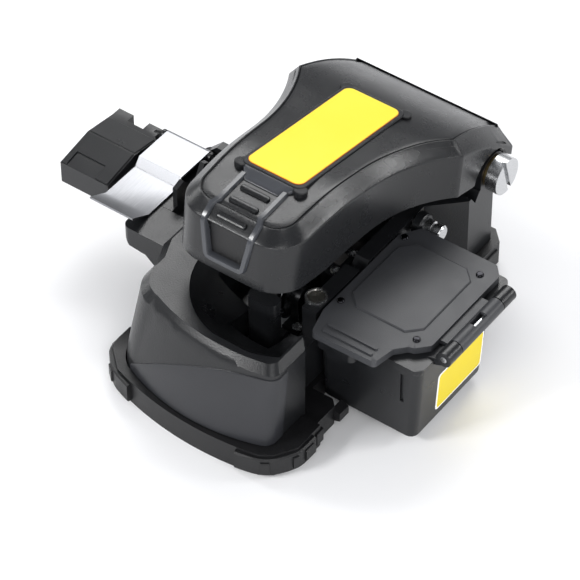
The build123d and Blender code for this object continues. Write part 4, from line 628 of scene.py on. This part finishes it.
def gripGroup():
    look = gripLook
    bandIn, bandDown = bandLook["in"][0], bandLook["down"][0]
    for index in range(3):
        y = look["firstY"] - index * look["pitch"]
        slope = math.atan2(bandDown, bandIn) if index == 2 else math.atan2(
            leverLook["frontDrop"], leverLook["crownY"] - leverLook["frontY"])
        half = look["length"] / 2
        reach = np.array([-1.0, -0.97, -0.9, 0.0, 0.9, 0.97, 1.0]) * half
        squeeze = np.array([0.25, 0.7, 1.0, 1.0, 1.0, 0.7, 0.25])
        path = np.stack([reach, np.full(7, y), np.full(7, float(noseHeight(np.array(y))))], axis=-1)
        side = np.tile([0.0, math.cos(slope), math.sin(slope)], (7, 1)) * squeeze[:, None]
        outward = np.tile([0.0, -math.sin(slope), math.cos(slope)], (7, 1)) * squeeze[:, None]
        w, h = look["width"] / 2, look["height"]
        section = np.array([
            [-w, -0.4], [w, -0.4], [w, h * 0.45], [w * 0.8, h * 0.85], [w * 0.45, h], [-w * 0.45, h],
            [-w * 0.8, h * 0.85], [-w, h * 0.45]])
        ridge = sweptBar(f"gripRidge{index}", path, side, outward, section, "leverNylon", "lever")
        ridge.modifiers.new("smooth", "NODES").node_group = smoothing

    # pad that slopes from the bed down to the grip, in the nylon painted lighter as a painted sheen
    rearY = plateLook["frontY"] - plateLook["bedMargin"] + 0.4
    frontY = look["padFrontY"]
    rearZ = float(bedHeight(rearY)) - 0.25
    frontZ = float(noseHeight(np.array(frontY))) + 0.45
    padPlan = [(look["padFrontHalf"] - 0.6, frontY), (look["padFrontHalf"], frontY + 0.6),
               (look["padRearHalf"], rearY - 1.2), (look["padRearHalf"], rearY),
               (-look["padRearHalf"], rearY), (-look["padRearHalf"], rearY - 1.2),
               (-look["padFrontHalf"], frontY + 0.6), (0.6 - look["padFrontHalf"], frontY)]
    pad = slabOnLever(
        "nosePad", padPlan, lambda y: rearZ + (frontZ - rearZ) * (rearY - y) / (rearY - frontY), 2.5, 0.25,
        "sheenPaintedNylon")
    pad.modifiers.new("smooth", "NODES").node_group = smoothing

    # frame: a flat strip from the pad over the nose, round the panel's foot and back, in the same nylon with painted
    # sheen
    front = leverLook["frontY"]
    creaseZ = float(leverTop(np.array(front + bandIn)))
    foot = leverLook["panelLowZ"] - 0.2
    turn = np.linspace(0, math.pi / 2, 6)[1:]
    top = [(look["railHalf"], y) for y in (-19.5, -24.0, -28.0, -31.2)]
    half = [(x, y, float(noseHeight(np.array(y))), 0) for x, y in top]
    half.append((look["railWide"], front + bandIn - 0.3, creaseZ - 0.3, 1))
    half.append((look["railWide"], front + 0.4, creaseZ - bandDown + 0.4, 1))
    half.append((look["railWide"] - 0.1, front, creaseZ - bandDown - 0.6, 2))
    half += [(look["railLow"] + (look["railWide"] - look["railLow"]) * share, front,
              foot + 1.6 + (creaseZ - bandDown - foot - 2.2) * share, 2) for share in (0.66, 0.33, 0.0)]
    half += [(look["railLow"] - 1.6 * (1 - math.cos(t)), front, foot + 1.6 - 1.6 * math.sin(t), 2) for t in turn]
    path = np.array([row[:3] for row in half] + [(-row[0], *row[1:3]) for row in half[::-1]])
    kind = np.array([row[3] for row in half] + [row[3] for row in half[::-1]])
    slopes = np.array([
        math.atan2(leverLook["frontDrop"], leverLook["crownY"] - leverLook["frontY"]),
        math.atan2(bandDown, bandIn), math.pi / 2])[kind]
    outward = np.stack([slopes * 0, -np.sin(slopes), np.cos(slopes)], axis=-1)
    run = np.gradient(path, axis=0)
    side = np.cross(outward, run)
    side /= np.linalg.norm(side, axis=1, keepdims=True)
    w, h = look["railWidth"] / 2, look["railHeight"]
    section = np.array([[-w, -1.0], [w, -1.0], [w, h * 0.3], [w * 0.6, h], [-w * 0.6, h], [-w, h * 0.3]])
    rail = sweptBar("noseFrame", path, side, outward, section, "sheenPaintedNylon", "lever")
    rail.modifiers.new("smooth", "NODES").node_group = smoothing


gripGroup()
print("grip and plate made")

# ---- flat details on the casting, the bin, its flap and the holder

# A flat plate over an outline: the side climbs, a small mitred edge turns in and the top closes.
# Place turns distances across, along and outwards into the frame.
def flatSlab(name, outline, place, dip, rise, edgeMm, material, body):
    outline = np.asarray(outline, dtype=float)
    forth = np.roll(outline, -1, axis=0) - outline
    forth /= np.linalg.norm(forth, axis=1, keepdims=True)
    normal = np.column_stack([-forth[:, 1], forth[:, 0]])
    before = np.roll(normal, 1, axis=0)
    mitre = (before + normal) / (1 + np.sum(before * normal, axis=1, keepdims=True))
    rings = [np.column_stack([outline + mitre * inset, np.full(len(outline), height)]) for inset, height in (
        (0.0, -dip), (0.0, rise - edgeMm), (0.35 * edgeMm, rise - 0.3 * edgeMm), (edgeMm, rise))]
    points = place(np.stack(rings))
    count = len(outline)
    faces = [list(row) for row in gridFaces(len(rings), count, closeColumns=True)]
    faces += [list(range(count)), [3 * count + index for index in range(count)]]
    return addPiece(name, points, faces, material, body)


# painted shade: a dark matt sheet that lines the sunk panel on the lever's nose
panelShadeLook = {"lowZ": 42.0, "highZ": 52.8, "lowHalf": 5.6, "highHalf": 6.7, "rise": 0.12, "edge": 0.08}
inset = flatSlab(
    "noseShadeSheet",
    [(-panelShadeLook["lowHalf"], panelShadeLook["lowZ"]), (panelShadeLook["lowHalf"], panelShadeLook["lowZ"]),
     (panelShadeLook["highHalf"], panelShadeLook["highZ"]), (-panelShadeLook["highHalf"], panelShadeLook["highZ"])],
    lambda p: openLever(np.stack([
        p[..., 0], leverLook["frontY"] + leverLook["panelDepth"] - p[..., 2], p[..., 1]], axis=-1)),
    0.3, panelShadeLook["rise"], panelShadeLook["edge"], "trayRubber", "lever")

# panel raised on the flap, in the flap's ABS whose colour is painted lighter as painted light
flapLook = {"topZ": 34.0, "rise": 0.45, "edge": 0.45,
            "panel": [(29.2, -12.5), (46.3, -12.5), (50.3, -8.3), (50.3, 15.4), (46.4, 19.2), (29.0, 19.2),
                      (24.9, 14.8), (24.9, -8.3)]}
panel = flatSlab(
    "flapPanel", flapLook["panel"],
    lambda p: np.stack([p[..., 0], p[..., 1], p[..., 2] + flapLook["topZ"]], axis=-1),
    0.5, flapLook["rise"], flapLook["edge"], "flapPaintedLighter", "flap")

# label on the bin's outer face, which leans out by its draft: a white border round a bare field
labelLook = {"faceX": 57.8, "faceTopZ": 29.8, "draft": 1.5 / 26.2, "lowY": -11.0, "highY": 12.4,
             "lowZ": 6.6, "highZ": 21.8, "corner": 1.3, "border": 0.6, "rise": 0.14}


# across is Y and along is Z, both on the leaning face, and outwards is X
def onBinFace(p):
    face = labelLook["faceX"] - (labelLook["faceTopZ"] - p[..., 1]) * labelLook["draft"]
    return np.stack([face + p[..., 2], p[..., 0], p[..., 1]], axis=-1)


for partName, margin, rise, material in (
        ("labelBorder", 0.0, labelLook["rise"], "labelBorder"),
        ("labelField", labelLook["border"], labelLook["rise"] + 0.06, "labelYellow")):
    middleY = (labelLook["lowY"] + labelLook["highY"]) / 2
    plan = roundedPlan(
        (labelLook["highY"] - labelLook["lowY"]) / 2 - margin, labelLook["lowZ"] + margin,
        labelLook["highZ"] - margin, labelLook["corner"] - 0.4 * margin)
    plan[:, 0] += middleY
    label = flatSlab(partName, plan, onBinFace, 0.3, rise, 0.05, material, "bin")

# plates on the sloping roof of the holder's grip, which leave a bare sunk panel at the front
roofLook = {"leftX": -79.0, "rightX": -61.0, "frontY": -12.5, "frontZ": 31.8, "ridgeY": 1.0, "ridgeZ": 34.4,
            "rearY": 13.0, "rearZ": 32.5, "rise": 0.4, "edge": 0.2}


# a place on the plane between two lines along X, counted from the first
def onSlope(lowY, lowZ, highY, highZ):
    run = np.array([highY - lowY, highZ - lowZ])
    length = float(np.hypot(*run))
    alongY, alongZ = run / length
    return length, lambda p: np.stack([
        p[..., 0], lowY + p[..., 1] * alongY - p[..., 2] * alongZ,
        lowZ + p[..., 1] * alongZ + p[..., 2] * alongY], axis=-1)


reach, place = onSlope(roofLook["frontY"], roofLook["frontZ"], roofLook["ridgeY"], roofLook["ridgeZ"])
left, right = roofLook["leftX"] + 0.3, roofLook["rightX"] - 0.3
roof = flatSlab(
    "gripRoofFront",
    [(left, 0.3), (left + 2.0, 0.3), (left + 2.0, 5.6), (left + 12.6, 5.6), (left + 12.6, 0.3), (right, 0.3),
     (right, reach - 0.25), (left, reach - 0.25)],
    place, 0.5, roofLook["rise"], roofLook["edge"], "absMoulding", "holder")
reach, place = onSlope(roofLook["ridgeY"], roofLook["ridgeZ"], roofLook["rearY"], roofLook["rearZ"])
roof = flatSlab(
    "gripRoofRear", [(left, 0.25), (right, 0.25), (right, reach - 2.4), (left, reach - 2.4)],
    place, 0.5, roofLook["rise"], roofLook["edge"], "absMoulding", "holder")

# raised pads on the outer faces of the tray's bumpers, mirrored to the left
bumperLook = {"faceX": 34.0, "lowZ": 1.8, "highZ": 6.6, "rise": 0.6, "edge": 0.3,
              "spans": ((-38.6, -35.2), (47.0, 55.0))}
for sideName, sign in (("Right", 1), ("Left", -1)):
    for index, (lowY, highY) in enumerate(bumperLook["spans"]):
        corners = np.array([
            (lowY, bumperLook["lowZ"]), (highY, bumperLook["lowZ"]),
            (highY, bumperLook["highZ"]), (lowY, bumperLook["highZ"])])
        pad = flatSlab(
            f"bumperPad{index}{sideName}", corners,
            lambda p: np.stack([sign * (bumperLook["faceX"] + p[..., 2]), p[..., 0], p[..., 1]], axis=-1),
            0.4, bumperLook["rise"], bumperLook["edge"], "trayRubber", "root")

# thick rubber round the tray's front corners, with a pad stepped out of it on each flat
cornerLook = {
    "right": [(19.5, -57.4), (26.2, -56.1), (29.9, -53.7), (32.6, -49.6), (34.0, -46.6), (34.0, -40.0)],
    "left": [(-34.0, -36.5), (-34.0, -45.8), (-31.2, -49.0), (-26.9, -52.8), (-20.5, -54.9)],
    "lowZ": 0.9, "highZ": 7.6, "out": 1.3, "edge": 0.45, "padOut": 0.55, "padLowZ": 2.2, "padHighZ": 6.4,
    "pads": {"right": (1, 3, 4), "left": (0, 2)}}


# plan points rounded off by cutting each inner corner twice, a quarter in from its neighbours
def cutCorners(plan):
    plan = np.asarray(plan, dtype=float)
    for _ in range(2):
        ahead = plan[:-1] * 0.75 + plan[1:] * 0.25
        behind = plan[:-1] * 0.25 + plan[1:] * 0.75
        plan = np.concatenate([plan[:1], np.stack([ahead, behind], axis=1).reshape(-1, 2)[1:-1], plan[-1:]])
    return plan


# A wall carried along a plan: each column stands its section of (distance outwards, height) off the
# plan's point, on the side that faces away from the cleaver's middle.
def wallAlong(name, plan, section, material, body):
    run = np.gradient(plan, axis=0)
    out = np.column_stack([run[:, 1], -run[:, 0]])
    out /= np.linalg.norm(out, axis=1, keepdims=True)
    section = np.broadcast_to(section, (len(plan), *np.shape(section)[-2:]))
    rings = np.concatenate([plan[:, None, :] + out[:, None, :] * section[..., :1], section[..., 1:]], axis=-1)
    count = section.shape[1]
    faces = [list(row) for row in gridFaces(len(plan), count, closeColumns=True)]
    faces.append(list(range(count)))
    faces.append([(len(plan) - 1) * count + index for index in reversed(range(count))])
    return addPiece(name, rings, faces, material, body)


# section of a bar with its outer edges cut at 45 degrees
def barSection(lowZ, highZ, inside, out, edge):
    return np.array([(-inside, lowZ), (out - edge, lowZ), (out, lowZ + edge), (out, highZ - edge),
                     (out - edge, highZ), (-inside, highZ)])


for cornerName in ("right", "left"):
    look = cornerLook
    corner = wallAlong(
        f"trayCorner{cornerName.title()}", cutCorners(look[cornerName]),
        barSection(look["lowZ"], look["highZ"], 0.8, look["out"], look["edge"]), "trayRubber", "root")
    for index in look["pads"][cornerName]:
        low, high = (np.array(look[cornerName][index + step]) for step in (0, 1))
        ends = np.array([low + (high - low) * share for share in (0.2, 0.8)])
        pad = wallAlong(
            f"trayCornerPad{index}{cornerName.title()}", ends,
            barSection(look["padLowZ"], look["padHighZ"], -0.6, look["out"] + look["padOut"], 0.25),
            "trayRubber", "root")

# facet on the casting's front, painted lighter as a painted reflection of the floor, below a crease that climbs from
# the left foot to the right corner: crease height = base + climb x - bend x^2, no higher than the rim
castingLook = {
    "frontY": -51.0, "flare": 5.5, "sideX": 27.4, "waistX": -27.8, "corner": 3.0, "kneeFlare": 0.9,
    "heights": (3.0, 12.0, 34.0), "lowZ": 8.8, "base": 26.7, "climb": 0.47, "bend": 0.009, "rimZ": 33.0,
    "proud": 0.45, "edge": 0.5, "inside": 0.5}


# points along the circle through three plan points, its middle found from equal distances
def arcThrough(start, middle, end, count):
    a, b, c = (np.array(point, dtype=float) for point in (start, middle, end))
    centre = np.linalg.solve(2 * np.array([b - a, c - a]), np.array([b @ b - a @ a, c @ c - a @ a]))
    angles = np.unwrap([math.atan2(*(point - centre)[::-1]) for point in (a, b, c)])
    turn = np.linspace(angles[0], angles[2], count)
    radius = np.linalg.norm(a - centre)
    return centre + radius * np.column_stack([np.cos(turn), np.sin(turn)])


# front of the casting's plan at a share of its flare, from the left wall to the right side
def castingFront(share):
    look = castingLook
    front, waist, side, corner = look["frontY"], look["waistX"], look["sideX"], look["corner"]
    low = front - look["flare"] * share
    leftWall = (waist - 2.6 * share, front + 14.5 - 3.5 * share)
    leftBend = (waist + 2.4 - 3.0 * share, front + 8.8 - 4.6 * share)
    leftFront = (waist + 8.8 - 3.0 * share, low + 5.2)
    rightFront = (side - corner, low + 1.6 + 2.0 * share)
    rightBend = (side - corner * 0.3, low + 1.9 + corner * 0.3 + 2.0 * share)
    rightSide = (side, low + 1.6 + corner + 2.0 * share)
    return np.concatenate([
        arcThrough(leftWall, leftBend, leftFront, 9), arcThrough(leftFront, (5.0 - 2.0 * share, low), rightFront, 41)[1:],
        arcThrough(rightFront, rightBend, rightSide, 8)[1:], [(side, rightSide[1] + 3.5)]])


def castingFacet():
    look = castingLook
    top, knee = castingFront(0.0), castingFront(look["kneeFlare"])
    x = knee[:, 0]
    crease = np.minimum(look["base"] + look["climb"] * x - look["bend"] * x * x, look["rimZ"])
    kept = crease > look["lowZ"] + 1.5
    top, knee, crease = top[kept], knee[kept], crease[kept]
    low = np.full(len(crease), look["lowZ"])
    profile = [(-look["inside"], low), (look["proud"], low), (look["proud"], low * 0.5 + crease * 0.5),
               (look["proud"], crease - look["edge"]), (look["proud"] * 0.75, crease - look["edge"] * 0.3),
               (0.0, crease), (-look["inside"], crease)]
    run = np.gradient(knee, axis=0)
    out = np.column_stack([run[:, 1], -run[:, 0]])
    out /= np.linalg.norm(out, axis=1, keepdims=True)
    rings = []
    for distance, height in profile:
        share = np.interp(height, look["heights"], (1 / look["kneeFlare"], 1.0, 0.0))
        plan = top + (knee - top) * share[:, None] + out * distance
        rings.append(np.column_stack([plan, height]))
    rings = np.stack(rings, axis=1)
    count = len(profile)
    faces = [list(row) for row in gridFaces(len(rings), count, closeColumns=True)]
    faces.append(list(range(count)))
    faces.append([(len(rings) - 1) * count + index for index in reversed(range(count))])
    facet = addPiece("castingFacet", rings, faces, "castingPaintedReflection", "root")
    facet.modifiers.new("smooth", "NODES").node_group = smoothing


castingFacet()

# sleeve on the catch pin, with a groove round it, and the dark boss it stands in: (x, radius)
pinLook = {"y": 29.0, "z": 31.6, "sides": 40,
           "pinSleeve": [(25.0, 0.0), (25.0, 2.7), (27.8, 2.7), (28.1, 2.2), (28.6, 2.2), (28.9, 2.7), (30.8, 2.7),
                         (31.2, 2.3), (31.2, 0.0)],
           "pinBoss": [(22.5, 0.0), (22.5, 3.9), (24.8, 3.9), (25.2, 3.5), (25.2, 0.0)]}
turn = np.linspace(0, 2 * math.pi, pinLook["sides"], endpoint=False)
for pieceName, material, slotName in (
        ("pinSleeve", "turnedSteel", "bright_steel"), ("pinBoss", "castPaint", "dark_cast_finish")):
    rings = np.array([[(x, pinLook["y"] + radius * math.cos(t), pinLook["z"] + radius * math.sin(t))
                       for t in turn] for x, radius in pinLook[pieceName]])
    turned = addPiece(
        pieceName, rings, gridFaces(len(rings), len(turn), closeColumns=True), material, "root")
    turned.modifiers.new("smooth", "NODES").node_group = smoothing
print("flat details made")

# ---- camera, floor and light

photoView = {
    "azimuth": 36.28, "elevation": 45.1, "roll": -0.277, "focalPixels": 3410.7, "frame": 580.0,
    "anchorPixel": (276.4, 476.6), "anchorMm": (31.0, -53.5, 0.0), "pixelsPerMm": 3.5,
    "sensorMm": 36.0}


# The camera stands back from the anchor point along the ray through the anchor's pixel.
def addCamera(look):
    a, e, roll = (math.radians(look[key]) for key in ("azimuth", "elevation", "roll"))
    right = np.array([math.cos(a), math.sin(a), 0.0])
    up = np.array([-math.sin(a) * math.sin(e), math.cos(a) * math.sin(e), math.cos(e)])
    forward = np.array([-math.sin(a) * math.cos(e), math.cos(a) * math.cos(e), -math.sin(e)])
    turnedRight = math.cos(roll) * right + math.sin(roll) * up
    turnedUp = -math.sin(roll) * right + math.cos(roll) * up
    centre = look["frame"] / 2
    u, v = look["anchorPixel"]
    ray = forward + turnedRight * (u - centre) / look["focalPixels"]
    ray = ray + turnedUp * (centre - v) / look["focalPixels"]
    eye = np.array(look["anchorMm"]) - ray * look["focalPixels"] / look["pixelsPerMm"]
    data = bpy.data.cameras.new("photoCamera")
    data.sensor_width = look["sensorMm"]
    data.lens = look["focalPixels"] / look["frame"] * look["sensorMm"]
    data.clip_start = 0.01
    camera = bpy.data.objects.new("photoCamera", data)
    bpy.context.scene.collection.objects.link(camera)
    turn = Matrix((turnedRight, turnedUp, -forward)).transposed()
    camera.matrix_world = Matrix.Translation(Vector(eye * mm)) @ turn.to_4x4()
    bpy.context.scene.camera = camera


addCamera(photoView)

floorLook = {"halfMetres": 3.0, "colour": "#f4f4f5"}
half = floorLook["halfMetres"]
floorMesh = bpy.data.meshes.new("paleFloor")
floorMesh.from_pydata(
    [(-half, -half, 0), (half, -half, 0), (half, half, 0), (-half, half, 0)], [], [(0, 1, 2, 3)])
floor = bpy.data.objects.new("paleFloor", floorMesh)
bpy.context.scene.collection.objects.link(floor)
floorMaterial = bpy.data.materials.new("paleStudioPaper")
floorMaterial.use_nodes = True
floorShader = floorMaterial.node_tree.nodes["Principled BSDF"]
floorShader.inputs["Base Color"].default_value = linear(floorLook["colour"])
floorShader.inputs["Roughness"].default_value = 0.9
floor.data.materials.append(floorMaterial)

# name: place, size, watts, each lamp aimed at the middle of the cleaver
lamps = {
    "overhead": ((-0.30, 0.60, 0.74), (0.7, 0.3), 5.6),
    "frontLeft": ((-0.42, -0.72, 0.58), (0.3, 0.14), 5.2),
    "rightRear": ((0.74, 0.58, 0.44), (0.3, 0.12), 2.6),
    "leftStrip": ((-0.80, -0.05, 0.40), (0.07, 0.8), 2.0),
    "nearKey": ((0.66, -0.58, 0.86), (0.35, 0.2), 1.8),
    "lowFront": ((0.28, -0.48, 0.13), (0.5, 0.05), 1.4),
    "lowRight": ((0.48, -0.05, 0.13), (0.4, 0.05), 0.4),
}
for lampName, (place, size, watts) in lamps.items():
    lamp = bpy.data.lights.new(lampName, "AREA")
    lamp.shape = "RECTANGLE"
    lamp.size, lamp.size_y = size
    lamp.energy = watts
    lampObject = bpy.data.objects.new(lampName, lamp)
    lampObject.visible_camera = False
    bpy.context.scene.collection.objects.link(lampObject)
    aim = Vector((0.0, 0.0, 0.03)) - Vector(place)
    lampObject.matrix_world = Matrix.Translation(place) @ aim.to_track_quat("-Z", "Y").to_matrix().to_4x4()

world = bpy.data.worlds.new("softStudio")
bpy.context.scene.world = world
world.use_nodes = True
world.node_tree.nodes["Background"].inputs["Color"].default_value = linear("#f4f6fa")
world.node_tree.nodes["Background"].inputs["Strength"].default_value = 0.42
bpy.context.scene.view_settings.view_transform = "Standard"
print("camera, floor and lights set")
